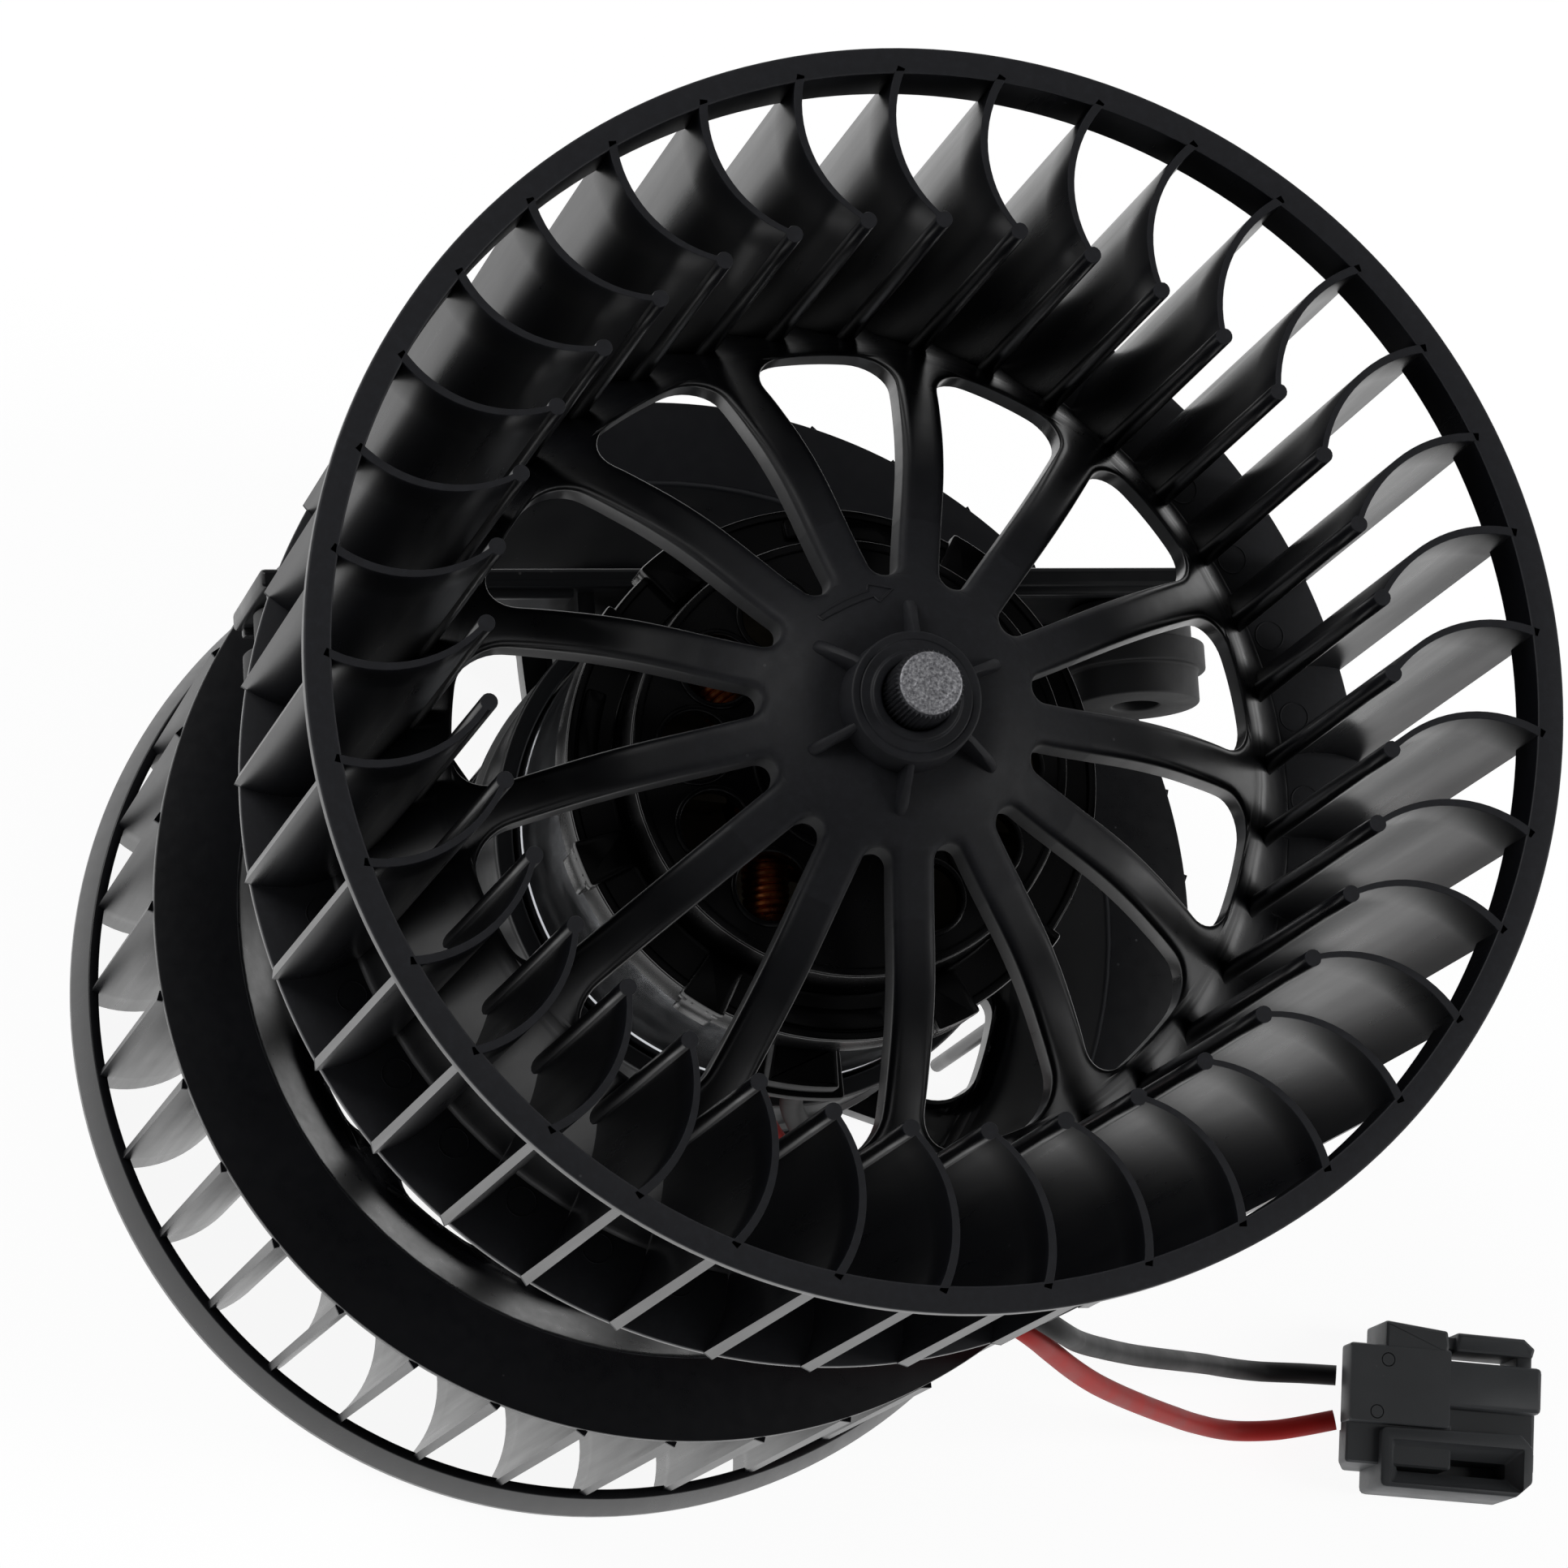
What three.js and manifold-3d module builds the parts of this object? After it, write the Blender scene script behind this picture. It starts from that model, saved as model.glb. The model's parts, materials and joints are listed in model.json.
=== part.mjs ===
// Double-wheel blower motor: one motor in the middle, one squirrel-cage wheel on each shaft end.
// Millimetres, +Z up. The wheel axis is Z, the rear wheel's rim face stands on Z = 0.
import * as THREE from "three";
import { mergeVertices } from "three/addons/utils/BufferGeometryUtils.js";
import Module from "manifold-3d";

const wasm = await Module();
wasm.setup();

// ---- driving dimensions ----
const GAP = 0.3;
const TOTAL = 213.2;
const MIDDLE = TOTAL / 2;
const WHEEL_R = 75;
const BLADES = 37;
const SPOKES = 13;
const CAGE_DEPTH = 68.6;
const DISK_T = 1.5;
const DISK_R = 72.2;
const BLADE_PHASE = 102.9;
const BLADE_T = 0.9;
const PIN_R = 1.1;
const PIN_RING_R = 54.1;
const BLADE_OUT_R = 72.0;
const BLADE_ARC_R = 15.7;
const SPOKE_PHASE = 84.9;
const SPOKE_W = 5.2;
const HUB_BOSS_R = 8;
const HUB_TOP = 14.3;
const HUB_END = 34;
const SHAFT_R = 4;
const SHAFT_RECESS = 7.5;
const YOKE_R = 32.5;
const YOKE_T = 2.2;
const YOKE_Z0 = 62;
const YOKE_Z1 = 155;
const PLATE_Z = 166.2;
const SHOULDER_Z = 157.1;
const VENT_R = 4.3;
const VENT_RING_R = 19.5;
const CORE_R = 23.4;
const CORE_SLOT_R = 13;
const CORE_Z0 = 84;
const CORE_Z1 = 134;
const SLOTS = 12;
const COMM_R = 9;
const COMM_Z0 = 144;
const COMM_Z1 = 156;
const CARD_Z = 144.5;
const STRAP_R = 35.2;
const BRACKET_TURN = 6.6;
const BAR_HALF = 64;
const BAR_V = 33.3;
const BAR_T = 2.6;
const BAR_Z0 = 94.6;
const BAR_Z1 = 118.6;
const BUSH_U = 55;
const BUSH_V = 19.7;
const BUSH_R = 8.6;
const BUSH_COLLAR_R = 9.7;
const BUSH_HOLE_R = 3.1;
const WIRE_R = 1.5;
const SEG_BLADE = 74;
const SEG_SPOKE = 39;
const rad = (deg) => (deg * Math.PI) / 180;

// ---- solids ----
function toSolid(geometry) {
  const g = geometry.clone();
  g.deleteAttribute("normal");
  g.deleteAttribute("uv");
  const m = mergeVertices(g, 1e-4);
  const index = m.index.array;
  const tri = [];
  for (let i = 0; i < index.length; i += 3) {
    const [a, b, c] = [index[i], index[i + 1], index[i + 2]];
    if (a !== b && b !== c && c !== a) tri.push(a, b, c);
  }
  return new wasm.Manifold(new wasm.Mesh({
    numProp: 3,
    vertProperties: new Float32Array(m.attributes.position.array),
    triVerts: new Uint32Array(tri),
  }));
}

function toGeometry(solid) {
  const mesh = solid.getMesh();
  const g = new THREE.BufferGeometry();
  g.setAttribute("position", new THREE.BufferAttribute(new Float32Array(mesh.vertProperties), 3));
  g.setIndex(new THREE.BufferAttribute(new Uint32Array(mesh.triVerts), 1));
  g.computeVertexNormals();
  return g;
}

// Ring of revolution about Z from a closed profile of [radius, z] points.
function revolve(profile, segments = 48, startDeg = 0) {
  const closed = [...profile, profile[0]];
  let area = 0;
  for (let i = 0; i < profile.length; i++) {
    const [r0, z0] = closed[i];
    const [r1, z1] = closed[i + 1];
    area += r0 * z1 - r1 * z0;
  }
  const ordered = area > 0 ? closed : closed.reverse();
  const g = new THREE.LatheGeometry(ordered.map(([r, z]) => new THREE.Vector2(r, z)), segments);
  g.rotateX(Math.PI / 2);
  g.rotateZ(rad(startDeg));
  return toSolid(g);
}

function tube(outer, inner, z0, z1, segments = 48) {
  if (inner <= 0) return revolve([[0, z0], [outer, z0], [outer, z1], [0, z1]], segments);
  return revolve([[inner, z0], [outer, z0], [outer, z1], [inner, z1]], segments);
}

// Prism along Z from an outline in the XY plane.
function prism(outline, z0, z1, holes = []) {
  const shape = new THREE.Shape(outline.map(([x, y]) => new THREE.Vector2(x, y)));
  for (const hole of holes) {
    shape.holes.push(new THREE.Path(hole.map(([x, y]) => new THREE.Vector2(x, y))));
  }
  const g = new THREE.ExtrudeGeometry(shape, { depth: z1 - z0, bevelEnabled: false, curveSegments: 8 });
  g.translate(0, 0, z0);
  return toSolid(g);
}

function block(x0, x1, y0, y1, z0, z1) {
  return prism([[x0, y0], [x1, y0], [x1, y1], [x0, y1]], z0, z1);
}

function circle(r, n, cx = 0, cy = 0, start = 0) {
  const out = [];
  for (let i = 0; i < n; i++) {
    const a = start + (2 * Math.PI * i) / n;
    out.push([cx + r * Math.cos(a), cy + r * Math.sin(a)]);
  }
  return out;
}

// Ring sector in the XY plane.
function sector(r0, r1, fromDeg, toDeg, steps = 8) {
  const out = [];
  for (let i = 0; i <= steps; i++) {
    const a = rad(fromDeg + ((toDeg - fromDeg) * i) / steps);
    out.push([r1 * Math.cos(a), r1 * Math.sin(a)]);
  }
  for (let i = steps; i >= 0; i--) {
    const a = rad(fromDeg + ((toDeg - fromDeg) * i) / steps);
    out.push([r0 * Math.cos(a), r0 * Math.sin(a)]);
  }
  return out;
}

function unite(list) {
  return list.reduce((a, b) => a.add(b));
}

function cut(solid, tools) {
  return tools.reduce((a, b) => a.subtract(b), solid);
}

// ---- assembly ----
const part = new THREE.Group();
part.name = "blower_motor_wheel";

function addPart(name, solid, colour, roughness, metalness) {
  const material = new THREE.MeshStandardMaterial({ color: colour, roughness, metalness });
  const mesh = new THREE.Mesh(toGeometry(solid), material);
  mesh.name = name;
  part.add(mesh);
}

// Curved blade with a round bead along its inner edge; outline in the XY plane, bead on +X.
function bladeOutline(reach) {
  const start = new THREE.Vector2(PIN_RING_R, 0);
  const tip = new THREE.Vector2(72.4, 5.1);
  const chord = tip.clone().sub(start);
  const half = chord.length() / 2;
  const rise = Math.sqrt(BLADE_ARC_R * BLADE_ARC_R - half * half);
  const normal = new THREE.Vector2(chord.y, -chord.x).normalize();
  const centre = start.clone().add(tip).multiplyScalar(0.5).addScaledVector(normal, rise);
  const a0 = Math.atan2(start.y - centre.y, start.x - centre.x);
  let a1 = Math.atan2(tip.y - centre.y, tip.x - centre.x);
  a1 += ((reach - BLADE_OUT_R) / BLADE_ARC_R) * -1;
  const steps = 3;
  const outer = [];
  const inner = [];
  for (let i = 0; i <= steps; i++) {
    const t = i / steps;
    const a = a0 + (a1 - a0) * (0.06 + 0.94 * t);
    const halfT = (BLADE_T / 2) * (0.85 + 0.4 * t);
    outer.push([centre.x + (BLADE_ARC_R + halfT) * Math.cos(a), centre.y + (BLADE_ARC_R + halfT) * Math.sin(a)]);
    inner.push([centre.x + (BLADE_ARC_R - halfT) * Math.cos(a), centre.y + (BLADE_ARC_R - halfT) * Math.sin(a)]);
  }
  const bead = [];
  for (let i = 0; i < 4; i++) {
    const a = rad(160 + (i * 220) / 3);
    bead.push([PIN_RING_R + PIN_R * Math.cos(a), PIN_R * Math.sin(a)]);
  }
  return [...outer.reverse(), ...bead, ...inner];
}

function turned(points, deg) {
  const c = Math.cos(rad(deg));
  const s = Math.sin(rad(deg));
  return points.map(([x, y]) => [x * c - y * s, x * s + y * c]);
}

// Opening between two spokes: sides parallel to the spokes, rounded at both ends.
function spokeWindow(centreDeg) {
  const half = rad(180 / SPOKES);
  const w = SPOKE_W / 2;
  const side = (r) => r * Math.sin(half) - w;
  const points = [];
  const innerC = 18.6;
  const innerR = side(innerC);
  for (let i = 0; i <= 2; i++) {
    const a = Math.PI / 2 + half + ((Math.PI - 2 * half) * i) / 2;
    points.push([innerC + innerR * Math.cos(a), innerR * Math.sin(a)]);
  }
  const cornerR = 4.3;
  const reach = 50.2;
  const cy = (reach - cornerR) * Math.sin(half) - w - cornerR;
  const cx = Math.sqrt((reach - cornerR) ** 2 - cy * cy);
  const cyFit = cx * Math.tan(half) - (w + cornerR) / Math.cos(half);
  for (let i = 0; i <= 2; i++) {
    const a = -Math.PI / 2 + half + (Math.PI / 2 - half * 0.2) * (i / 2);
    points.push([cx + cornerR * Math.cos(a), -cyFit + cornerR * Math.sin(a)]);
  }
  for (let i = 2; i >= 0; i--) {
    const a = -Math.PI / 2 + half + (Math.PI / 2 - half * 0.2) * (i / 2);
    points.push([cx + cornerR * Math.cos(a), cyFit - cornerR * Math.sin(a)]);
  }
  return turned(points, centreDeg);
}

// Bell from the hub out to the blade disk: [radius, depth below the rim face].
const BELL = [
  [7, 19.4], [13, 20.4], [23, 24.6], [32, 27.7], [38, 31.6],
  [44, 36.8], [50, 43.3], [52.6, 46.4], [62.5, 67.1],
];
const BELL_BACK = [
  [62.5, CAGE_DEPTH], [60.6, 68.1], [52.6, 51], [44, 41.4], [34, 33.2], [7, 22.6],
];
const BELL_SEAM = 0.7;
const DISK_IN = 62.8;
const CAGE_SECTORS = 6;
const SECTOR_BLADES = 6;
const SECTOR_CUT = 7.1;

// Blade cage of one wheel, rim face on Z = 0 and depth along +Z: rim hoop, blades, flat disk ring.
function bladeCage() {
  const rim = revolve([
    [WHEEL_R, 0], [WHEEL_R, 1.3], [73.2, 8], [71.8, 8], [71.8, 0],
  ], SEG_BLADE);
  const disk = revolve([
    [DISK_IN - 1, CAGE_DEPTH - DISK_T], [DISK_R, CAGE_DEPTH - DISK_T], [DISK_R, CAGE_DEPTH], [DISK_IN - 1, CAGE_DEPTH],
  ], SEG_BLADE);
  const blades = [];
  for (let i = 0; i < BLADES; i++) {
    const deg = BLADE_PHASE + (i * 360) / BLADES;
    blades.push(prism(turned(bladeOutline(BLADE_OUT_R), deg), 0, CAGE_DEPTH - DISK_T + 0.5));
  }
  const seat = BELL.slice(-3).map(([r, d]) => [r, d - BELL_SEAM]);
  const last = seat[seat.length - 1];
  const bellRoom = revolve([
    [0, seat[0][1]], ...seat, [DISK_IN, last[1]], [DISK_IN, CAGE_DEPTH + 1], [0, CAGE_DEPTH + 1],
  ], BLADES, BLADE_PHASE - 3.5);
  return unite([rim, disk, ...blades]).subtract(bellRoom);
}

// Wedge round one sector of the cage, half a gap short of its neighbours on both sides.
function cageWedge(fromDeg, toDeg) {
  const inner = 40;
  const outer = WHEEL_R + 20;
  const from = turned([[inner, GAP / 2], [outer, GAP / 2]], fromDeg);
  const to = turned([[outer, -GAP / 2], [inner, -GAP / 2]], toDeg);
  return prism([...from, ...to], -1, CAGE_DEPTH + 1);
}

// The cage in sectors of six or seven blades, each parted from the next between two blades.
function cageSectors() {
  const cage = bladeCage();
  const start = BLADE_PHASE + SECTOR_CUT;
  const step = (SECTOR_BLADES * 360) / BLADES;
  const sectors = [];
  for (let i = 0; i < CAGE_SECTORS; i++) {
    const end = i === CAGE_SECTORS - 1 ? start + 360 : start + (i + 1) * step;
    sectors.push(cage.intersect(cageWedge(start + i * step, end)));
  }
  return sectors;
}

// Spoked bell of the same wheel with the shaft boss and its gussets.
function spokedHub() {
  const windows = [];
  for (let i = 0; i < SPOKES; i++) {
    const mid = SPOKE_PHASE + ((i + 0.5) * 360) / SPOKES;
    windows.push(prism(spokeWindow(mid), 15, CAGE_DEPTH + 5));
  }
  const bell = cut(revolve([...BELL, ...BELL_BACK], SEG_SPOKE, SPOKE_PHASE), windows);
  const boss = tube(HUB_BOSS_R, 0, HUB_TOP, HUB_END, 24);
  const gussets = [];
  for (let i = 0; i < 6; i++) {
    const rib = prism([[6, HUB_TOP + 1.4], [8.4, HUB_TOP + 1.4], [12.2, 20.4], [6, 20.4]], -0.6, 0.6);
    gussets.push(rib.rotate([90, 0, 0]).rotate([0, 0, 90.4 + 60 * i]));
  }
  const bore = tube(SHAFT_R + GAP, 0, HUB_TOP - 5, HUB_END + 5, 16);
  const counterbore = tube(SHAFT_R + 0.9, 0, HUB_TOP - 5, HUB_TOP + 2, 16);
  return cut(unite([bell, boss, ...gussets]), [bore, counterbore]);
}

const sectors = cageSectors();
const hub = spokedHub();
const facing = (solid) => solid.mirror([0, 0, 1]).translate([0, 0, TOTAL]);
sectors.forEach((sectorSolid, i) => {
  addPart(`rear_blade_cage_${i + 1}`, sectorSolid, 0x26272b, 0.5, 0.0);
  addPart(`front_blade_cage_${i + 1}`, facing(sectorSolid), 0x26272b, 0.5, 0.0);
});
addPart("rear_spoked_hub", hub, 0x26272b, 0.5, 0.0);
addPart("front_spoked_hub", facing(hub), 0x26272b, 0.5, 0.0);

// ---- rotor ----
function shaft() {
  const low = SHAFT_RECESS;
  const high = TOTAL - SHAFT_RECESS;
  return revolve([
    [0, low], [SHAFT_R - 0.3, low], [SHAFT_R, low + 0.8],
    [SHAFT_R, high - 0.8], [SHAFT_R - 0.3, high], [0, high],
  ], 16);
}

// Slot opening of the armature, shared by the core (cut) and the windings (filled).
function slotOutline(slot, inset) {
  const half = 1.7 - inset;
  const inner = CORE_SLOT_R + inset;
  const outer = CORE_R - 1.6 - inset;
  const box = [[inner, -half * 0.7], [outer, -half * 1.35], [outer, half * 1.35], [inner, half * 0.7]];
  return turned(box, (slot * 360) / SLOTS);
}

function armatureCore() {
  const stack = tube(CORE_R, SHAFT_R + GAP, CORE_Z0, CORE_Z1, 36);
  const tools = [];
  for (let i = 0; i < SLOTS; i++) {
    tools.push(prism(slotOutline(i, 0), CORE_Z0 - 1, CORE_Z1 + 1));
    const mouth = turned([[CORE_R - 2, -0.8], [CORE_R + 1, -0.8], [CORE_R + 1, 0.8], [CORE_R - 2, 0.8]], (i * 360) / SLOTS);
    tools.push(prism(mouth, CORE_Z0 - 1, CORE_Z1 + 1));
  }
  return cut(stack, tools);
}

// Copper end turns at both ends of the stack, joined through every slot.
function armatureWindings() {
  const inner = 9.5;
  const outer = CORE_R - 1.8;
  const far = revolve([
    [inner, CORE_Z0 - GAP], [inner, CORE_Z0 - 6], [13, CORE_Z0 - 9], [19, CORE_Z0 - 8.5], [outer, CORE_Z0 - 4],
    [outer, CORE_Z0 - GAP],
  ], 18);
  const near = revolve([
    [inner, CORE_Z1 + GAP], [inner, CORE_Z1 + 6], [13, CORE_Z1 + 9], [19, CORE_Z1 + 8.5], [outer, CORE_Z1 + 4],
    [outer, CORE_Z1 + GAP],
  ], 18);
  const bars = [];
  for (let i = 0; i < SLOTS; i++) {
    bars.push(prism(slotOutline(i, GAP), CORE_Z0 - 1, CORE_Z1 + 1));
  }
  return unite([far, near, ...bars]);
}

function commutator() {
  const drum = tube(COMM_R, SHAFT_R + GAP, COMM_Z0, COMM_Z1, 12);
  const collar = tube(COMM_R + 1.6, SHAFT_R + GAP, COMM_Z0, COMM_Z0 + 1.6, 12);
  const grooves = [];
  for (let i = 0; i < SLOTS; i++) {
    const groove = [[COMM_R - 0.7, -0.25], [COMM_R + 3, -0.25], [COMM_R + 3, 0.25], [COMM_R - 0.7, 0.25]];
    grooves.push(prism(turned(groove, ((i + 0.5) * 360) / SLOTS), COMM_Z0 - 1, COMM_Z1 + 1));
  }
  return cut(drum.add(collar), grooves);
}

addPart("shaft", shaft(), 0xc4c4c2, 0.35, 0.9);
addPart("armature_core", armatureCore(), 0x55585c, 0.5, 0.7);
addPart("armature_windings", armatureWindings(), 0xa8571f, 0.35, 0.8);
addPart("commutator", commutator(), 0xb06a3a, 0.35, 0.8);
addPart("rear_spacer", tube(6.2, SHAFT_R + GAP, 68.2, CORE_Z0 - 9.5, 16), 0xc9c3b0, 0.6, 0);
addPart("rear_thrust_washer", tube(7, SHAFT_R + GAP, 66.4, 67.8, 16), 0x6a4a2a, 0.6, 0);
addPart("front_thrust_washer", tube(7, SHAFT_R + GAP, 156.4, 157.6, 16), 0x6a4a2a, 0.6, 0);

// ---- motor body ----
function polar(r, deg) {
  return [r * Math.cos(rad(deg)), r * Math.sin(rad(deg))];
}

// Front shield: raised plate with vent holes, lower shoulder with clip tabs, short skirt.
function frontShield() {
  const shell = revolve([
    [5, 171.5], [9.5, 171.5], [10.5, PLATE_Z], [27.4, PLATE_Z], [27.8, SHOULDER_Z],
    [33.7, SHOULDER_Z], [33.7, 150], [YOKE_R + GAP, 150],
    [YOKE_R + GAP, YOKE_Z1 + GAP], [26, YOKE_Z1 + GAP], [26, PLATE_Z - 1.8], [9.5, PLATE_Z - 1.8], [9.2, 158],
    [7.4, 158], [7.4, 169.6], [5, 169.6],
  ], 32);
  const tabs = [62, 134, 154, 206, 244, 300, 324].map((deg) => (
    prism(sector(28.3, 34.6, deg - 5, deg + 5, 2), SHOULDER_Z - 4, SHOULDER_Z + 1.6)
  ));
  const reliefs = tube(YOKE_R + GAP, 0, 140, YOKE_Z1 + GAP, 32);
  const pads = [92, 180, 272].map((deg) => (
    prism(sector(29.8, 32.4, deg - 13, deg + 13, 4), SHOULDER_Z - 1, SHOULDER_Z + 1)
  ));
  const holes = [];
  for (let i = 1; i < 12; i++) {
    if (i === 6) continue;
    holes.push(prism(circle(VENT_R, 8, ...polar(VENT_RING_R, 92 + 30 * i)), 155, 175));
  }
  const trimmed = tabs.map((tab) => tab.subtract(reliefs));
  return cut(unite([shell, ...trimmed, ...pads]), holes);
}

function rearShield() {
  const shell = revolve([
    [5, 52.5], [9.5, 52.5], [10.5, 57.5], [33.7, 57.5], [33.7, 68], [YOKE_R + GAP, 68],
    [YOKE_R + GAP, YOKE_Z0 - GAP], [26, YOKE_Z0 - GAP], [26, 59.3], [9.5, 59.3], [9.2, 66],
    [7.4, 66], [7.4, 54.4], [5, 54.4],
  ], 32);
  const holes = [];
  for (let i = 0; i < 6; i++) {
    holes.push(prism(circle(VENT_R, 8, ...polar(VENT_RING_R, 92 + 60 * i)), 50, 65));
  }
  return cut(shell, holes);
}

// Spherical sintered bearing in its pocket.
function bearing(z0) {
  const inner = SHAFT_R + 0.25;
  return revolve([
    [inner, z0], [5.8, z0], [7.1, z0 + 3], [7.1, z0 + 6.3], [5.8, z0 + 9.3], [inner, z0 + 9.3],
  ], 16);
}

addPart("yoke", tube(YOKE_R, YOKE_R - YOKE_T, YOKE_Z0, YOKE_Z1, 36), 0x8d8f90, 0.25, 0.9);
addPart("front_shield", frontShield(), 0x1c1d20, 0.4, 0);
addPart("rear_shield", rearShield(), 0x1c1d20, 0.4, 0);
addPart("front_bearing", bearing(160), 0xa07a45, 0.6, 0.6);
addPart("rear_bearing", bearing(54.7), 0xa07a45, 0.6, 0.6);
addPart("front_bearing_retainer", tube(7.1, 4.8, 158.3, 159.7, 16), 0x9a9c9e, 0.4, 0.8);
addPart("rear_bearing_retainer", tube(7.1, 4.8, 64.3, 65.7, 16), 0x9a9c9e, 0.4, 0.8);
const magnetIn = CORE_R + 0.8;
const magnetOut = YOKE_R - YOKE_T - GAP;
addPart("magnet_right", prism(sector(magnetIn, magnetOut, -60, 60, 10), 80, 138), 0x3a3a3c, 0.8, 0.1);
addPart("magnet_left", prism(sector(magnetIn, magnetOut, 120, 240, 10), 80, 138), 0x3a3a3c, 0.8, 0.1);
addPart("magnet_clip_upper", prism(sector(28.4, magnetOut, 64, 116, 5), 84, 134), 0x9a9c9e, 0.35, 0.8);
addPart("magnet_clip_lower", prism(sector(28.4, magnetOut, 244, 296, 5), 84, 134), 0x9a9c9e, 0.35, 0.8);

// ---- brush gear ----
function brushCard() {
  const plate = tube(YOKE_R - YOKE_T - GAP, 12, CARD_Z, CARD_Z + 1.8, 36);
  const boxes = [0, 180].map((deg) => {
    const outer = block(12.5, 25.5, -4.4, 4.4, CARD_Z + 1, CARD_Z + 9);
    const hollow = block(9, 24.2, -3.2, 3.2, CARD_Z + 2.6, CARD_Z + 7.6);
    return outer.subtract(hollow).rotate([0, 0, deg]);
  });
  const base = unite([plate, ...boxes]);
  const slots = [0, 180].map((deg) => (
    block(9, 24.2, -3.2, 3.2, CARD_Z + 2.6, CARD_Z + 7.6).rotate([0, 0, deg])
  ));
  return cut(base, slots);
}

function brush(deg) {
  const body = block(COMM_R + GAP, 18.5, -2.9, 2.9, CARD_Z + 2.9, CARD_Z + 7.3);
  return body.rotate([0, 0, deg]);
}

// Coil of square-section wire along +X.
function brushSpring(deg) {
  const turns = 3;
  const steps = 8;
  const points = [];
  for (let i = 0; i <= turns * steps; i++) {
    const a = (2 * Math.PI * i) / steps;
    points.push(new THREE.Vector3(
      19.2 + (4.6 * i) / (turns * steps), 1.6 * Math.cos(a), CARD_Z + 5.1 + 1.6 * Math.sin(a),
    ));
  }
  const path = new THREE.CatmullRomCurve3(points);
  const wire = new THREE.Shape(circle(0.3, 4).map(([x, y]) => new THREE.Vector2(x, y)));
  const g = new THREE.ExtrudeGeometry(wire, { steps: turns * steps, extrudePath: path, bevelEnabled: false });
  return toSolid(g).rotate([0, 0, deg]);
}

function choke(r, deg, axisDeg) {
  const coil = revolve([
    [0, -7], [1.6, -7], [1.6, -5.6], [3.1, -5.6], [3.1, 5.6], [1.6, 5.6], [1.6, 7], [0, 7],
  ], 14);
  const [x, y] = polar(r, deg);
  return coil.rotate([0, 90, 0]).rotate([0, 0, axisDeg]).translate([x, y, 160.4]);
}

addPart("brush_card", brushCard(), 0x8a7f6a, 0.7, 0);
addPart("brush_right", brush(0), 0x2a2a2c, 0.7, 0.3);
addPart("brush_left", brush(180), 0x2a2a2c, 0.7, 0.3);
addPart("brush_spring_right", brushSpring(0), 0xa8a9aa, 0.3, 0.9);
addPart("brush_spring_left", brushSpring(180), 0xa8a9aa, 0.3, 0.9);
addPart("choke_upper", choke(18.6, 154, 128), 0xb0602a, 0.35, 0.8);
addPart("choke_lower", choke(18.6, 243, 96), 0xb0602a, 0.35, 0.8);

// ---- carrier: strap round the yoke with a flat cross bar and two rubber mounts ----
function carrier() {
  const strap = tube(STRAP_R, YOKE_R + GAP, BAR_Z0, BAR_Z1, 48);
  const bar = block(-BAR_HALF, BAR_HALF, BAR_V, BAR_V + BAR_T, BAR_Z0, BAR_Z1);
  const webs = [-1, 1].map((side) => (
    block(side * 21 - 1.2, side * 21 + 1.2, 26.5, BAR_V + 0.5, BAR_Z0 + 3, BAR_Z1 - 3)
  ));
  const hollow = tube(YOKE_R + GAP, 0, BAR_Z0 - 1, BAR_Z1 + 1, 48);
  const holes = [-1, 1].map((side) => (
    tube(BUSH_HOLE_R, 0, -1, BAR_T + 1, 16).rotate([-90, 0, 0]).translate([side * BUSH_U, BAR_V, MIDDLE])
  ));
  const body = cut(unite([strap, bar, ...webs]), [hollow, ...holes]);
  return body.rotate([0, 0, BRACKET_TURN]);
}

// Rubber mount: round body with a collar, bored through, hanging under the cross bar.
function rubberMount(side) {
  const low = BUSH_V;
  const bush = revolve([
    [BUSH_HOLE_R, low], [BUSH_R, low], [BUSH_R, low + 4.3], [BUSH_COLLAR_R, low + 4.3],
    [BUSH_COLLAR_R, low + 7.8], [BUSH_R - 0.5, low + 7.8], [BUSH_R - 0.5, BAR_V - GAP], [BUSH_HOLE_R, BAR_V - GAP],
  ], 24);
  return bush.rotate([-90, 0, 0]).translate([side * BUSH_U, 0, MIDDLE]).rotate([0, 0, BRACKET_TURN]);
}

addPart("carrier", carrier(), 0x1b1c1e, 0.45, 0);
addPart("rubber_mount_right", rubberMount(1), 0x1a1a1b, 0.7, 0);
addPart("rubber_mount_left", rubberMount(-1), 0x1a1a1b, 0.7, 0);

// ---- leads and plug ----
function wireGrommet() {
  const body = prism(sector(YOKE_R + GAP, 38.2, -97, -83, 3), 143, 149.7);
  const lip = prism(sector(YOKE_R + GAP, 39, -99, -81, 3), 144.5, 146.5);
  return body.add(lip);
}

function cord(points) {
  const path = new THREE.CatmullRomCurve3(points.map(([x, y, z]) => new THREE.Vector3(x, y, z)), false, "centripetal");
  const round = new THREE.Shape(circle(WIRE_R, 8).map(([x, y]) => new THREE.Vector2(x, y)));
  return toSolid(new THREE.ExtrudeGeometry(round, { steps: 30, extrudePath: path, bevelEnabled: false }));
}

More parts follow.
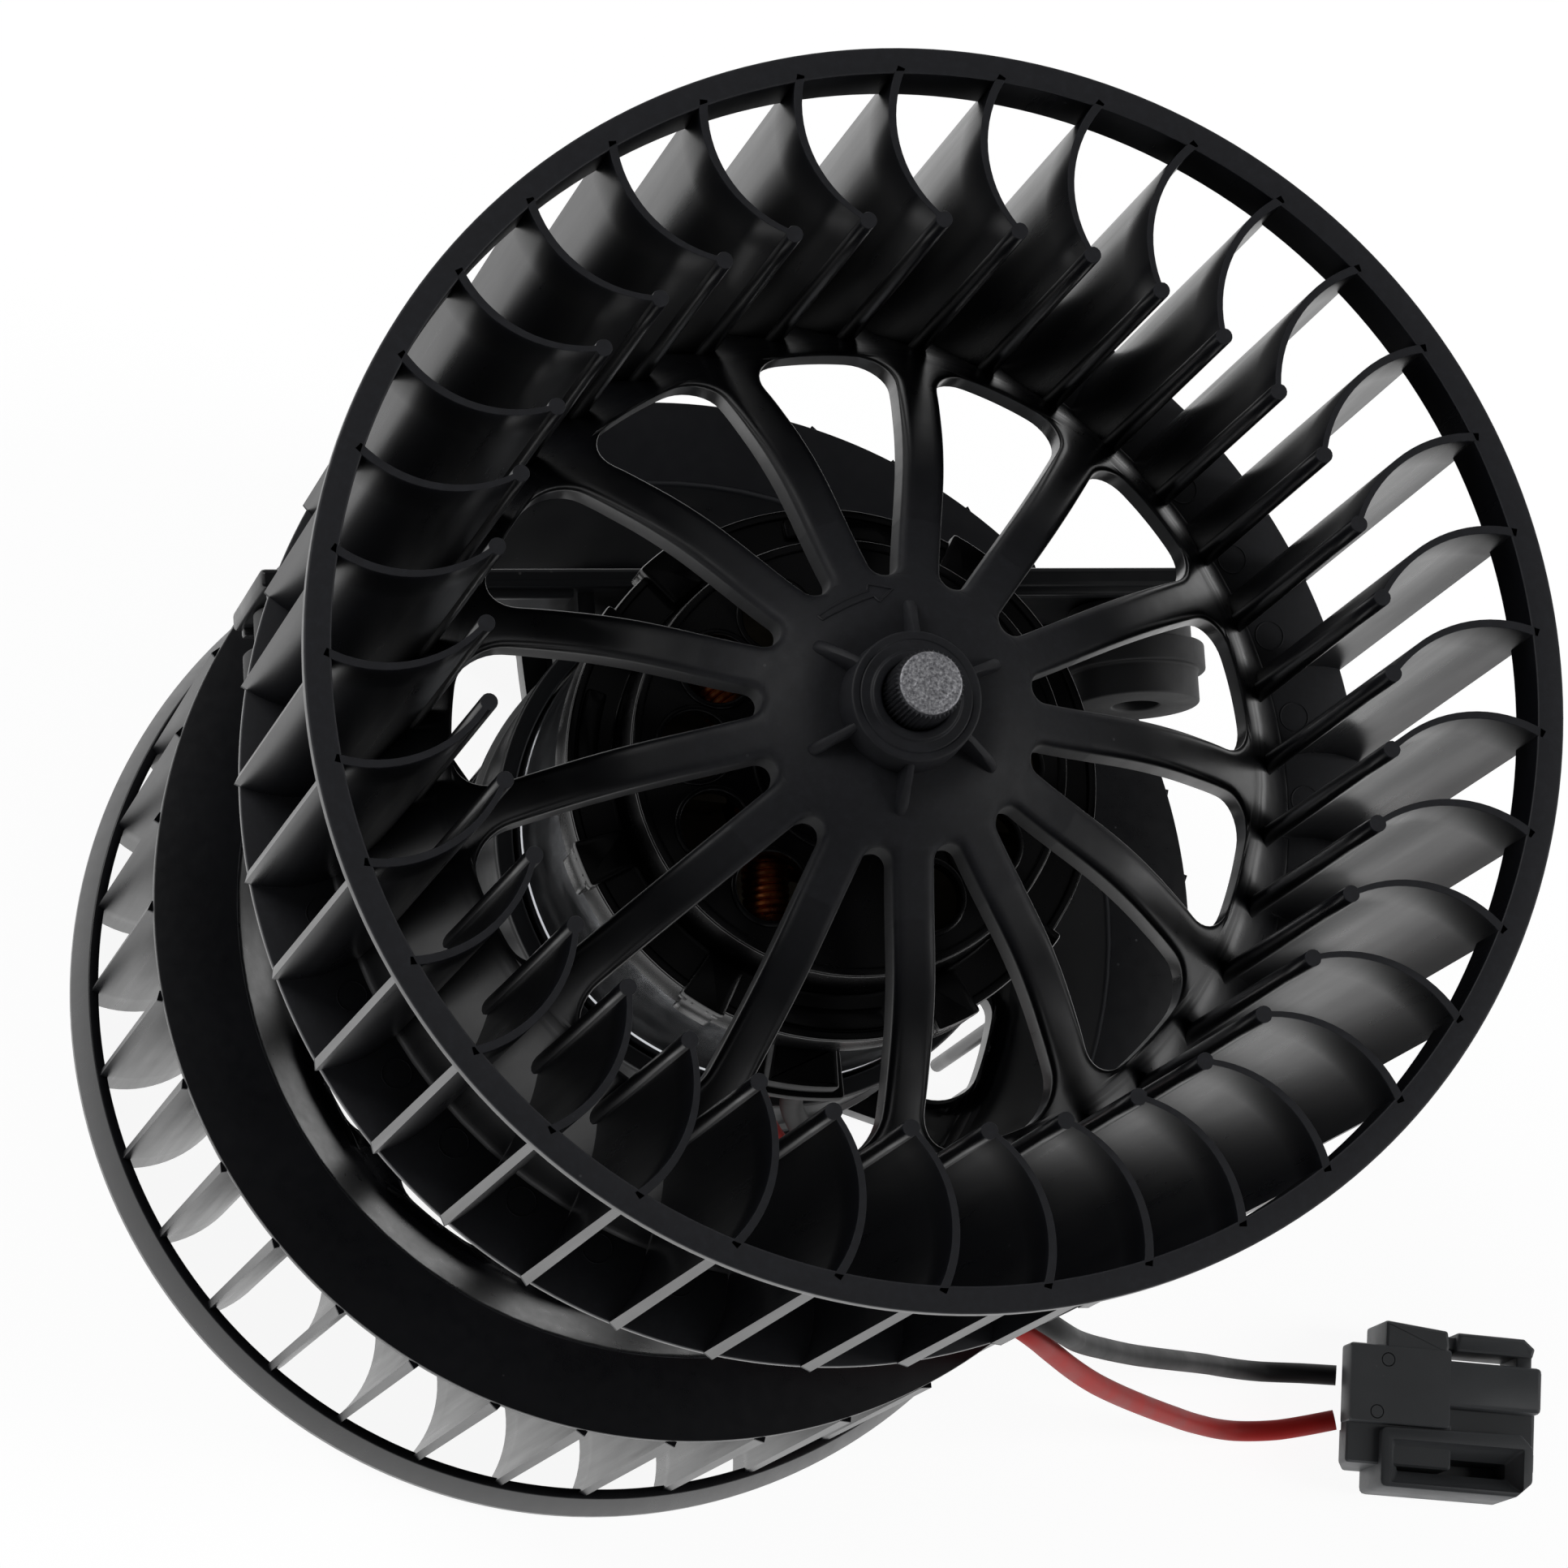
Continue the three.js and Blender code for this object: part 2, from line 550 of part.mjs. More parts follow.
const RED_ROUTE = [
  [-2, -35.6, 142.7], [-2, -35.7, 136], [-1.2, -36.6, 129], [2.5, -39, 121], [9, -42.6, 113.5], [18, -46.8, 107.5],
  [28, -51.4, 104], [36, -55.2, 102], [42.6, -57.9, 99.5], [48, -58.6, 91], [55, -58.6, 77], [63.7, -58.2, 60],
  [75.8, -57, 38], [87.1, -55.8, 19], [94, -55.2, 9], [100.5, -54.9, 4], [107.3, -54.2, 4], [115.3, -52.3, 6],
];
const BLACK_ROUTE = [
  [2, -35.6, 142.7], [2.2, -35.7, 136], [3.2, -36.6, 129], [7, -38.8, 121.5], [14, -42.2, 114.5], [23, -46.6, 109.5],
  [32.5, -51.4, 106.5], [40, -55.2, 104.5], [46.6, -57.4, 100.5], [53, -56.9, 88], [61, -55.2, 72.5], [70.7, -53, 55],
  [82.4, -50.1, 35], [92, -47.6, 18], [98.5, -46.4, 8.5], [104.5, -45.8, 4], [110, -45.6, 4.4], [115.3, -45.7, 6],
];

// Two-way plug lying on its side with a lever on one flank and a window latch on the other.
function plugHousing() {
  const body = block(115.6, 146.5, -58.8, -41.2, 0, 12);
  const step = block(115.4, 124, -59.2, -41.6, 1, 11);
  const lever = block(122, 144.6, -39.6, -37.3, 2.5, 9.5);
  const root = block(122, 131.5, -41.4, -37.6, 3, 9);
  const hook = block(141.8, 144.6, -40.8, -37.3, 2.5, 9.5);
  const frame = block(121.7, 146.3, -62.5, -58.6, 1.5, 10.5);
  const window = block(124.8, 142, -60.9, -59.3, 0, 12);
  const cavities = [-52.3, -45.7].map((y) => block(118, 148, y - 2.6, y + 2.6, 3, 9));
  const entries = [-52.3, -45.7].map((y) => block(114, 119, y - 1.6, y + 1.6, 4.4, 7.6));
  return cut(unite([body, step, lever, root, hook, frame]), [window, ...cavities, ...entries]);
}

function terminal(y) {
  const sleeve = block(127, 138, y - 2.1, y + 2.1, 4, 8);
  const slot = block(130, 139, y - 1.6, y + 1.6, 5.2, 6.8);
  const crimp = block(119, 127.2, y - 1.3, y + 1.3, 4.8, 7.2);
  return sleeve.subtract(slot).add(crimp);
}

addPart("wire_grommet", wireGrommet(), 0x18181a, 0.8, 0);
addPart("red_wire", cord(RED_ROUTE), 0xb8382f, 0.45, 0);
addPart("black_wire", cord(BLACK_ROUTE), 0x1b1b1d, 0.45, 0);
addPart("plug_housing", plugHousing(), 0x2f3133, 0.55, 0);
addPart("terminal_red", terminal(-52.3), 0xb9b4a2, 0.3, 0.9);
addPart("terminal_black", terminal(-45.7), 0xb9b4a2, 0.3, 0.9);

export default part;
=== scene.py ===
"""Looks of a double-wheel blower motor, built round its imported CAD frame.

Lengths in the geometry functions are millimetres; make() turns them into metres in the row frame.
A wheel is drawn once by depth below its rim face: the rear wheel stands on it, the front one hangs from it.
"""

import json
import math

import bmesh
import bpy
import numpy as np
from mathutils import Matrix, Vector


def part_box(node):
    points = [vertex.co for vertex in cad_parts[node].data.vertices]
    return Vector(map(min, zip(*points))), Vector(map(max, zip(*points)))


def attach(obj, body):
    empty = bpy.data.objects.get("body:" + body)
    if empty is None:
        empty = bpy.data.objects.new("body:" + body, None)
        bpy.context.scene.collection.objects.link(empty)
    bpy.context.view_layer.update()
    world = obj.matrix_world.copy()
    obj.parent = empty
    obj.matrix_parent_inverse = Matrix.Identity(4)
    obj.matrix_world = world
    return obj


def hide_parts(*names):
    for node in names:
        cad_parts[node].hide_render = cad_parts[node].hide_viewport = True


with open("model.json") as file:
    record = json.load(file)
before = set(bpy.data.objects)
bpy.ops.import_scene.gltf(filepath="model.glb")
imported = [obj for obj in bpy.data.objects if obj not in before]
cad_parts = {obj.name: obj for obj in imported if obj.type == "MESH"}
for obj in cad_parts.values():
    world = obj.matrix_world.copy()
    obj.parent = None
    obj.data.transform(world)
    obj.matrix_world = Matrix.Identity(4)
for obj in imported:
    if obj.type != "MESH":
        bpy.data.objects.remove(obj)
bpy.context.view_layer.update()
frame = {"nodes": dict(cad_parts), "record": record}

MM = 0.001
TAU = 2 * math.pi


def cad(node, corner, axis):
    """One coordinate of a CAD node's box, in millimetres; corner 0 is the lowest and 1 the highest."""
    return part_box(node)[corner][axis] / MM


def cages(end):
    """The six CAD sectors of one wheel's blade cage."""
    return [f"{end}_blade_cage_{i}" for i in range(1, 7)]


# ---- driving dimensions, millimetres ----
TOTAL = max(cad(node, 1, 2) for node in cages("front"))
MIDDLE = TOTAL / 2
WHEEL_R = max(cad(node, 1, 1) for node in cages("front"))
CAGE_DEPTH = max(cad(node, 1, 2) for node in cages("rear"))
BLADES = 37
SPOKES = 13
BLADE_PITCH = 360 / BLADES
BLADE_PHASE = 102.9
SPOKE_PHASE = 84.9
BEAD_RING_R = 54.1
BEAD_R = 1.07
BLADE_ARC_R = 15.7
BLADE_TIP = (72.4, 5.1)
DISK_R = 72.2
DISK_T = 1.5
SPOKE_HALF = 2.6
EDGE_R = 1.0
WALL_DEPTH = 4.6
WEB_T = 1.4
BELL_R = 62.5
HUB_STEP_R = 24.6
HUB_STEP = 0.1
SHOULDER_R = 52.3
SPOKE_FADE_R = 40
DISK_SEEN_R = 62.4
MARK_RING_R = 64.5
MARK_TURN = 9.157
WINDOW_OUT_R = 50.0
WINDOW_IN_R = 18.6
WINDOW_CORNER_R = 4.3
HALF_PITCH = 180 / SPOKES
BOSS_R = 8.0
BOSS_TOP = 14.3
GUSSETS = 6
GUSSET_PHASE = 90.4
SHAFT_R = 4.0
SHAFT_END = cad("shaft", 0, 2)
KNURL_LENGTH = 18.8
YOKE_R = cad("yoke", 1, 1)
YOKE_Z = (cad("yoke", 0, 2), cad("yoke", 1, 2))
BRACKET_TURN = 6.6
BAR_Z = (cad("carrier", 0, 2), cad("carrier", 1, 2))
MOUNT_U = 55.0
MOUNT_V = 19.7
MOUNT_BORE_R = 3.1
WIRE_R = 1.5
WIRE_EXIT_Z = 142.7

# ---- camera ----
CAMERA_AT = (-0.17521, -0.18871, 0.92223)
CAMERA_TURN = (12.7086, -13.1600, 3.1013)
LENS = 150.135


def place_object(name, data):
    """New object in the scene that shows the data."""
    holder = bpy.data.objects.new(name, data)
    bpy.context.scene.collection.objects.link(holder)
    return holder


def add_camera():
    camera = bpy.data.cameras.new("camera")
    camera.lens = LENS
    camera.sensor_width = 36
    camera.clip_start, camera.clip_end = 0.01, 20
    holder = place_object("camera", camera)
    holder.location = CAMERA_AT
    holder.rotation_euler = [math.radians(a) for a in CAMERA_TURN]
    bpy.context.scene.camera = holder


add_camera()


# ---- curves ----
def polar(r, deg):
    return r * math.cos(math.radians(deg)), r * math.sin(math.radians(deg))


def hermite(x, points):
    """Smooth curve through the (x, y) points, with each slope taken from the neighbours."""
    xs, ys = np.array(points, float).T
    slopes = np.gradient(ys, xs)
    x = np.clip(np.asarray(x, float), xs[0], xs[-1])
    i = np.clip(np.searchsorted(xs, x, side="right") - 1, 0, len(xs) - 2)
    h = xs[i + 1] - xs[i]
    t = (x - xs[i]) / h
    start = (2 * t**3 - 3 * t**2 + 1) * ys[i] + (t**3 - 2 * t**2 + t) * h * slopes[i]
    return start + (3 * t**2 - 2 * t**3) * ys[i + 1] + (t**3 - t**2) * h * slopes[i + 1]


def centripetal(points, steps):
    """Centripetal Catmull-Rom curve through the points, with that many pieces between each two."""
    p = [np.array(q, float) for q in points]
    p = [2 * p[0] - p[1], *p, 2 * p[-1] - p[-2]]
    out = []
    for i in range(1, len(p) - 2):
        knots = [0.0]
        for a, b in zip(p[i - 1:i + 2], p[i:i + 3]):
            knots.append(knots[-1] + math.sqrt(np.linalg.norm(b - a)))
        for k in range(steps):
            t = knots[1] + (knots[2] - knots[1]) * k / steps
            layer = p[i - 1:i + 3]
            for span in (1, 2, 3):
                layer = [
                    ((knots[j + span] - t) * layer[j] + (t - knots[j]) * layer[j + 1])
                    / (knots[j + span] - knots[j])
                    for j in range(4 - span)
                ]
            out.append(layer[0])
    out.append(p[-2])
    return out


# ---- leads ----
RED_ROUTE = [
    (-2, -35.6, 142.7), (-2, -35.7, 136), (-1.2, -36.6, 129), (2.5, -39, 121), (9, -42.6, 113.5),
    (18, -46.8, 107.5), (28, -51.4, 104), (36, -55.2, 102), (42.6, -57.9, 99.5), (48, -58.6, 91),
    (55, -58.6, 77), (63.7, -58.2, 60), (75.8, -57, 38), (87.1, -55.8, 19), (94, -55.2, 9),
    (100.5, -54.9, 4), (107.3, -54.2, 4), (115.3, -52.3, 6),
]
BLACK_ROUTE = [
    (2, -35.6, 142.7), (2.2, -35.7, 136), (3.2, -36.6, 129), (7, -38.8, 121.5), (14, -42.2, 114.5),
    (23, -46.6, 109.5), (32.5, -51.4, 106.5), (40, -55.2, 104.5), (46.6, -57.4, 100.5), (53, -56.9, 88),
    (61, -55.2, 72.5), (70.7, -53, 55), (82.4, -50.1, 35), (92, -47.6, 18), (98.5, -46.4, 8.5),
    (104.5, -45.8, 4), (110, -45.6, 4.4), (115.3, -45.7, 6),
]


def add_lead(name, route):
    """A lead as one open curve, and its length in metres."""
    line = [Vector(p) * MM for p in centripetal(route, 9)]
    curve = bpy.data.curves.new(name, "CURVE")
    curve.dimensions = "3D"
    curve.bevel_depth = WIRE_R * MM
    curve.bevel_resolution = 5
    curve.use_fill_caps = True
    spline = curve.splines.new("POLY")
    spline.points.add(len(line) - 1)
    for point, place in zip(spline.points, line):
        point.co = (*place, 1)
    spline.use_smooth = True
    length = sum((b - a).length for a, b in zip(line, line[1:]))
    return place_object(name, curve), round(length, 4)


red_lead, RED_LENGTH = add_lead("lead_red", RED_ROUTE)
black_lead, BLACK_LENGTH = add_lead("lead_black", BLACK_ROUTE)


# ---- meshes ----
class Shape:
    """Points in millimetres and faces of one piece."""

    def __init__(self):
        self.points = []
        self.faces = []

    def add(self, points, faces):
        base = len(self.points)
        self.points.extend(tuple(float(c) for c in p) for p in points)
        self.faces.extend(tuple(base + i for i in face) for face in faces)
        return self

    def loft(self, rings, round_ring=True, round_path=False, caps=True):
        """Skin over rings of equal length; open paths get end faces."""
        n = len(rings[0])
        points = [p for ring in rings for p in ring]
        faces = []
        last = len(rings) if round_path else len(rings) - 1
        for i in range(last):
            a, b = i * n, ((i + 1) % len(rings)) * n
            for j in range(n if round_ring else n - 1):
                k = (j + 1) % n
                faces.append((a + j, a + k, b + k, b + j))
        if caps and not round_path:
            faces.append(tuple(range(n - 1, -1, -1)))
            faces.append(tuple(range(len(points) - n, len(points))))
        return self.add(points, faces)

    def lathe(self, profile, segments):
        """Closed [radius, z] profile turned about Z."""
        rings = []
        for i in range(segments):
            rings.append([(*polar(r, 360 * i / segments), z) for r, z in profile])
        return self.loft(rings, round_path=True)

    def turned_copy(self, other, deg):
        about_z = Matrix.Rotation(math.radians(deg), 3, "Z")
        return self.add([about_z @ Vector(p) for p in other.points], other.faces)

    def moved_copy(self, other, matrix):
        return self.add([matrix @ Vector(p) for p in other.points], other.faces)

    def slab(self, outline, z0, z1, soft=0.0):
        """Outline in the XY plane raised from z0 to z1, its top and bottom edges softened."""
        if soft <= 0:
            return self.loft([[(x, y, z) for x, y in outline] for z in (z0, z1)])
        small = inset(outline, soft)
        mid = inset(outline, soft * 0.3)
        levels = [
            (small, z0), (mid, z0 + soft * 0.3), (outline, z0 + soft),
            (outline, z1 - soft), (mid, z1 - soft * 0.3), (small, z1),
        ]
        return self.loft([[(x, y, z) for x, y in ring] for ring, z in levels])

    def block(self, lo, hi, soft=0.4):
        """Box with rounded upright edges and softened rims."""
        return self.slab(rectangle(lo[0], lo[1], hi[0], hi[1], soft * 1.4), lo[2], hi[2], soft)

    def stack(self, sections, soft):
        """Block through a stack of (x0, y0, x1, y1, z) sections, with rounded upright edges."""
        return self.loft([[(x, y, z) for x, y in rectangle(*box, soft)] for *box, z in sections])


def inset(outline, by):
    """Closed outline moved inwards, assuming that it runs counter-clockwise."""
    p = np.array(outline, float)
    before, after = np.roll(p, 1, axis=0), np.roll(p, -1, axis=0)
    into = []
    for a, b in ((before, p), (p, after)):
        edge = b - a
        edge /= np.maximum(np.linalg.norm(edge, axis=1, keepdims=True), 1e-9)
        into.append(np.stack([-edge[:, 1], edge[:, 0]], axis=1))
    middle = into[0] + into[1]
    middle /= np.maximum(np.linalg.norm(middle, axis=1, keepdims=True), 1e-9)
    stretch = 1 / np.clip((middle * into[0]).sum(axis=1), 0.5, 1)
    return [tuple(q) for q in p + middle * (by * stretch)[:, None]]


def soften(outline, radius, steps=3):
    """Closed outline with each corner rounded to about that radius."""
    p = [np.array(q, float) for q in outline]
    out = []
    for i, here in enumerate(p):
        a, b = p[i - 1] - here, p[(i + 1) % len(p)] - here
        la, lb = np.linalg.norm(a), np.linalg.norm(b)
        cosine = float(np.clip(a @ b / (la * lb), -1, 1))
        if cosine < -0.985:
            out.append(tuple(here))
            continue
        reach = min(radius / math.tan(math.acos(cosine) / 2), 0.45 * la, 0.45 * lb)
        start, end = here + a / la * reach, here + b / lb * reach
        for k in range(steps + 1):
            t = k / steps
            out.append(tuple((1 - t) ** 2 * start + 2 * t * (1 - t) * here + t * t * end))
    return out


def rectangle(x0, y0, x1, y1, soft, steps=3):
    return soften([(x0, y0), (x1, y0), (x1, y1), (x0, y1)], soft, steps)


def ring_profile(r0, r1, z0, z1, soft, steps=3):
    """Softened four-cornered [radius, z] profile."""
    return soften([(r0, z0), (r0, z1), (r1, z1), (r1, z0)], soft, steps)


def arc(centre, r, start, end, steps):
    """Points along a circle from one angle to another in radians, both ends included."""
    angles = [start + (end - start) * i / steps for i in range(steps + 1)]
    return [(centre[0] + r * math.cos(a), centre[1] + r * math.sin(a)) for a in angles]


def circle(r, count, centre):
    return arc(centre, r, 0, TAU, count)[:-1]


def sector(r0, r1, middle, half, steps):
    """Ring sector that reaches half to both sides of its middle, in degrees."""
    degrees = [middle - half + 2 * half * i / steps for i in range(steps + 1)]
    return [polar(r1, a) for a in degrees] + [polar(r0, a) for a in degrees[::-1]]


def tube_along(shape, line, radius, sides):
    """Round tube along a list of points."""
    p = [Vector(q) for q in line]
    side = None
    rings = []
    for i, here in enumerate(p):
        along = (p[min(i + 1, len(p) - 1)] - p[max(i - 1, 0)]).normalized()
        side = along.orthogonal() if side is None else side - along * side.dot(along)
        side.normalize()
        across = along.cross(side)
        rings.append([
            here + radius * (math.cos(TAU * k / sides) * side + math.sin(TAU * k / sides) * across)
            for k in range(sides)
        ])
    return shape.loft(rings)


def shift(x, y, z):
    return Matrix.Translation((x, y, z))


def turn(deg, axis):
    return Matrix.Rotation(math.radians(deg), 4, axis)


def mark_edges(bm, sharp):
    """Smooth faces, with edges kept crisp where they bend more than that angle."""
    for face in bm.faces:
        face.smooth = True
    for edge in bm.edges:
        edge.smooth = len(edge.link_faces) == 2 and edge.calc_face_angle(0) < math.radians(sharp)


def solid_mesh(name, shape, sharp):
    """Mesh in metres with outward faces, smooth but for edges sharper than that angle."""
    mesh = bpy.data.meshes.new(name)
    mesh.from_pydata([Vector(p) * MM for p in shape.points], [], shape.faces)
    bm = bmesh.new()
    bm.from_mesh(mesh)
    bmesh.ops.remove_doubles(bm, verts=bm.verts, dist=2e-7)
    bmesh.ops.dissolve_degenerate(bm, edges=bm.edges, dist=1e-8)
    bmesh.ops.recalc_face_normals(bm, faces=bm.faces)
    mark_edges(bm, sharp)
    bm.to_mesh(mesh)
    bm.free()
    return mesh


def make(name, shape, body, slot, replaces=(), cutters=None, sharp=34):
    """One finished piece: its mesh, its material, the body it rides and the CAD nodes it stands for."""
    piece = place_object(name, solid_mesh(name, shape, sharp))
    if cutters is not None:
        carve(piece, cutters, sharp)
    piece.data.materials.clear()
    piece.data.materials.append(MATERIALS[slot])
    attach(piece, body)
    if replaces:
        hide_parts(*replaces)
    return piece


def carve(piece, cutters, sharp):
    """Cuts the cutters' shape out of the piece and marks the new sharp edges."""
    tool = place_object("cutter", solid_mesh("cutter", cutters, sharp))
    modifier = piece.modifiers.new("cut", "BOOLEAN")
    modifier.operation = "DIFFERENCE"
    modifier.solver = "EXACT"
    modifier.use_self = True
    modifier.object = tool
    bpy.context.view_layer.update()
    result = bpy.data.meshes.new_from_object(piece.evaluated_get(bpy.context.evaluated_depsgraph_get()))
    piece.modifiers.clear()
    piece.data = result
    result.name = piece.name
    bpy.data.objects.remove(tool)
    bm = bmesh.new()
    bm.from_mesh(result)
    bmesh.ops.remove_doubles(bm, verts=bm.verts, dist=5e-7)
    bmesh.ops.dissolve_degenerate(bm, edges=bm.edges, dist=1e-8)
    mark_edges(bm, sharp)
    bm.to_mesh(result)
    bm.free()


def carved(shape, cutters):
    """The shape with the cutters' shape taken out of it, as a shape again."""
    sharp = 30
    holder = place_object("carved", solid_mesh("carved", shape, sharp))
    carve(holder, cutters, sharp)
    points = [vertex.co / MM for vertex in holder.data.vertices]
    faces = [tuple(polygon.vertices) for polygon in holder.data.polygons]
    bpy.data.objects.remove(holder)
    return Shape().add(points, faces)


# ---- materials ----
class Graph:
    """A node material under construction; its helpers hand back output sockets."""

    def __init__(self, name):
        self.material = bpy.data.materials.new(name)
        self.material.use_nodes = True
        self.tree = self.material.node_tree
        self.tree.nodes.clear()
        self.shader = self.add("ShaderNodeBsdfPrincipled")
        self.add("ShaderNodeOutputMaterial", {"Surface": self.shader.outputs["BSDF"]})
        self.place = self.add("ShaderNodeTexCoord").outputs["Object"]

    def add(self, kind, inputs=None, **settings):
        """Node with its settings and its inputs, each input a value or a socket."""
        node = self.tree.nodes.new(kind)
        for key, value in settings.items():
            setattr(node, key, value)
        for key, value in (inputs or {}).items():
            self.feed(node.inputs[key], value)
        return node

    def feed(self, entry, value):
        """Links a socket to the entry, or sets a plain value or an opaque colour on it."""
        if isinstance(value, bpy.types.NodeSocket):
            self.tree.links.new(value, entry)
        elif entry.type == "RGBA":
            entry.default_value = (*value, 1)
        else:
            entry.default_value = value

    def moved_place(self, scale, location):
        inputs = {"Vector": self.place, "Scale": scale, "Location": location}
        return self.add("ShaderNodeMapping", inputs).outputs["Vector"]

    def noise(self, scale, detail=3.0, roughness=0.55, stretch=(1, 1, 1), seed=0.0):
        """Noise over the object's own place in space; stretch scales its axes."""
        at = self.moved_place(stretch, (seed, seed * 0.7, -seed * 0.4))
        inputs = {"Vector": at, "Scale": scale, "Detail": detail, "Roughness": roughness}
        return self.add("ShaderNodeTexNoise", inputs).outputs["Fac"]

    def specks(self, scale, size, seed=0.0):
        """Scattered small dots, 1 in a dot and 0 elsewhere."""
        at = self.moved_place((1, 1, 1), (seed, seed, seed))
        gap = self.add("ShaderNodeTexVoronoi", {"Vector": at, "Scale": scale}).outputs["Distance"]
        return self.ramp(gap, size * 0.5, size, 1, 0)

    def axial_height(self):
        """Distance in metres from the plane half-way between the wheels' rim faces."""
        split = self.add("ShaderNodeSeparateXYZ", {"Vector": self.place})
        return self.math("ABSOLUTE", self.math("SUBTRACT", split.outputs["Z"], MIDDLE * MM))

    def axis_distance(self):
        flat = self.add("ShaderNodeVectorMath", {0: self.place, 1: (1, 1, 0)}, operation="MULTIPLY")
        reach = self.add("ShaderNodeVectorMath", {0: flat.outputs["Vector"]}, operation="LENGTH")
        return reach.outputs["Value"]

    def ramp(self, source, low, high, a=0.0, b=1.0):
        """Source value from low..high turned into a..b."""
        inputs = {"Value": source, "From Min": low, "From Max": high, "To Min": a, "To Max": b}
        return self.add("ShaderNodeMapRange", inputs, clamp=True).outputs["Result"]

    def ramp_mm(self, source, low, high, a=0.0, b=1.0):
        return self.ramp(source, low * MM, high * MM, a, b)

    def tint(self, colours, source, low, high):
        """Colour that runs through the list as the source goes from low to high."""
        node = self.add("ShaderNodeValToRGB", {"Fac": source})
        elements = node.color_ramp.elements
        while len(elements) < len(colours):
            elements.new(0.5)
        for i, colour in enumerate(colours):
            elements[i].position = low + (high - low) * i / (len(colours) - 1)
            elements[i].color = (*colour, 1)
        return node.outputs["Color"]

    def math(self, operation, *values):
        return self.add("ShaderNodeMath", dict(enumerate(values)), operation=operation).outputs["Value"]

    def mix(self, factor, a, b):
        """Blend of two colours by a factor."""
        return self.add("ShaderNodeMix", {0: factor, 6: a, 7: b}, data_type="RGBA").outputs[2]

    def dusted(self, colour, dots, patches, amount, tone):
        """Colour under dust: dots that show only in some patches."""
        where = self.math("MULTIPLY", dots, patches)
        return self.mix(self.math("MULTIPLY", where, amount), colour, tone)

    def surface(self, inputs, bumps):
        """The finished material; each bump is (socket, strength, height in millimetres)."""
        for key, value in inputs.items():
            self.feed(self.shader.inputs[key], value)
        entries = {}
        for source, strength, height in bumps:
            entries.update({"Strength": strength, "Distance": height * MM, "Height": source})
            entries["Normal"] = self.add("ShaderNodeBump", entries).outputs["Normal"]
        if bumps:
            self.feed(self.shader.inputs["Normal"], entries["Normal"])
        return self.material


def linear(rgb):
    """sRGB 0..255 to linear."""
    return tuple((c / 255 / 12.92) if c <= 10 else ((c / 255 + 0.055) / 1.055) ** 2.4 for c in rgb)


def shade(colour, by):
    return tuple(c * by for c in colour)


def moulded_plastic(name, rgb, rough, grain=0.012, dust=0.0):
    """Moulded plastic: cloudy colour, fine grain, handling marks and a little dust."""
    g = Graph(name)
    base = linear(rgb)
    cloud = g.noise(38, 4, 0.6, seed=1.3)
    fine = g.noise(2400, 2, 0.6, seed=4.1)
    marks = g.noise(260, 5, 0.65, seed=2.2)
    clean = g.tint([shade(base, 0.75), base, shade(base, 1.25)], cloud, 0.3, 0.7)
    patches = g.ramp(g.noise(60, 3, 0.6, seed=7.7), 0.52, 0.68)
    dots = g.specks(420, 0.1, seed=0.37)
    inputs = {
        "Base Color": g.dusted(clean, dots, patches, dust, (0.32, 0.31, 0.3)),
        "Roughness": g.math("MULTIPLY_ADD", marks, rough * 0.5, rough * 0.75),
    }
    return g.surface(inputs, [(fine, 0.35, grain), (marks, 0.25, grain * 1.5)])


def eroded_area(g):
    """1 on the rim faces and the disks' fronts, less on the hubs, fading out along the spokes, else 0."""
    height, radius = g.axial_height(), g.axis_distance()
    rim_face = g.ramp_mm(height, MIDDLE - 0.22, MIDDLE - 0.12)
    hub = g.ramp_mm(radius, HUB_STEP_R - 0.1, HUB_STEP_R + 0.1, 1, 0.72)
    spokes = g.ramp_mm(radius, HUB_STEP_R, SPOKE_FADE_R, 1, 0)
    disk_z = MIDDLE - CAGE_DEPTH + DISK_T
    above = g.ramp_mm(height, disk_z - 0.5, disk_z - 0.4)
    below = g.ramp_mm(height, disk_z + 0.15, disk_z + 0.2, 1, 0)
    ring = g.ramp_mm(radius, DISK_SEEN_R - 0.2, DISK_SEEN_R)
    disk = g.math("MULTIPLY", g.math("MULTIPLY", above, below), ring)
    worn = g.math("MAXIMUM", g.math("MULTIPLY", hub, spokes), disk)
    return g.math("MAXIMUM", rim_face, worn)


def wheel_plastic(name):
    """Black polypropylene: satin, with an eroded matte finish where eroded_area says."""
    g = Graph(name)
    base = linear((27, 28, 33))
    cloud = g.noise(26, 4, 0.6, seed=3.1)
    grain = g.noise(900, 4, 0.75, seed=5.9)
    drawn = g.noise(70, 4, 0.6, stretch=(7, 7, 0.3), seed=0.6)
    matte = eroded_area(g)
    eroded = g.tint([shade(base, 0.75), base, shade(base, 1.45)], grain, 0.3, 0.72)
    satin = g.tint([shade(base, 0.3), shade(base, 0.5)], cloud, 0.3, 0.7)
    patches = g.ramp(g.noise(40, 3, 0.6, seed=8.3), 0.54, 0.7)
    dots = g.specks(260, 0.06, seed=0.21)
    drawn_gloss = g.math("MULTIPLY_ADD", drawn, 0.16, 0.22)
    cloud_gloss = g.math("MULTIPLY_ADD", cloud, 0.1, -0.05)
    gloss = g.math("ADD", drawn_gloss, cloud_gloss)
    inputs = {
        "Base Color": g.dusted(g.mix(matte, satin, eroded), dots, patches, 0.35, (0.3, 0.3, 0.31)),
        "Roughness": g.math("ADD", gloss, g.math("MULTIPLY", matte, 0.28)),
    }
    return g.surface(inputs, [(grain, 0.3, 0.014), (drawn, 0.12, 0.02)])


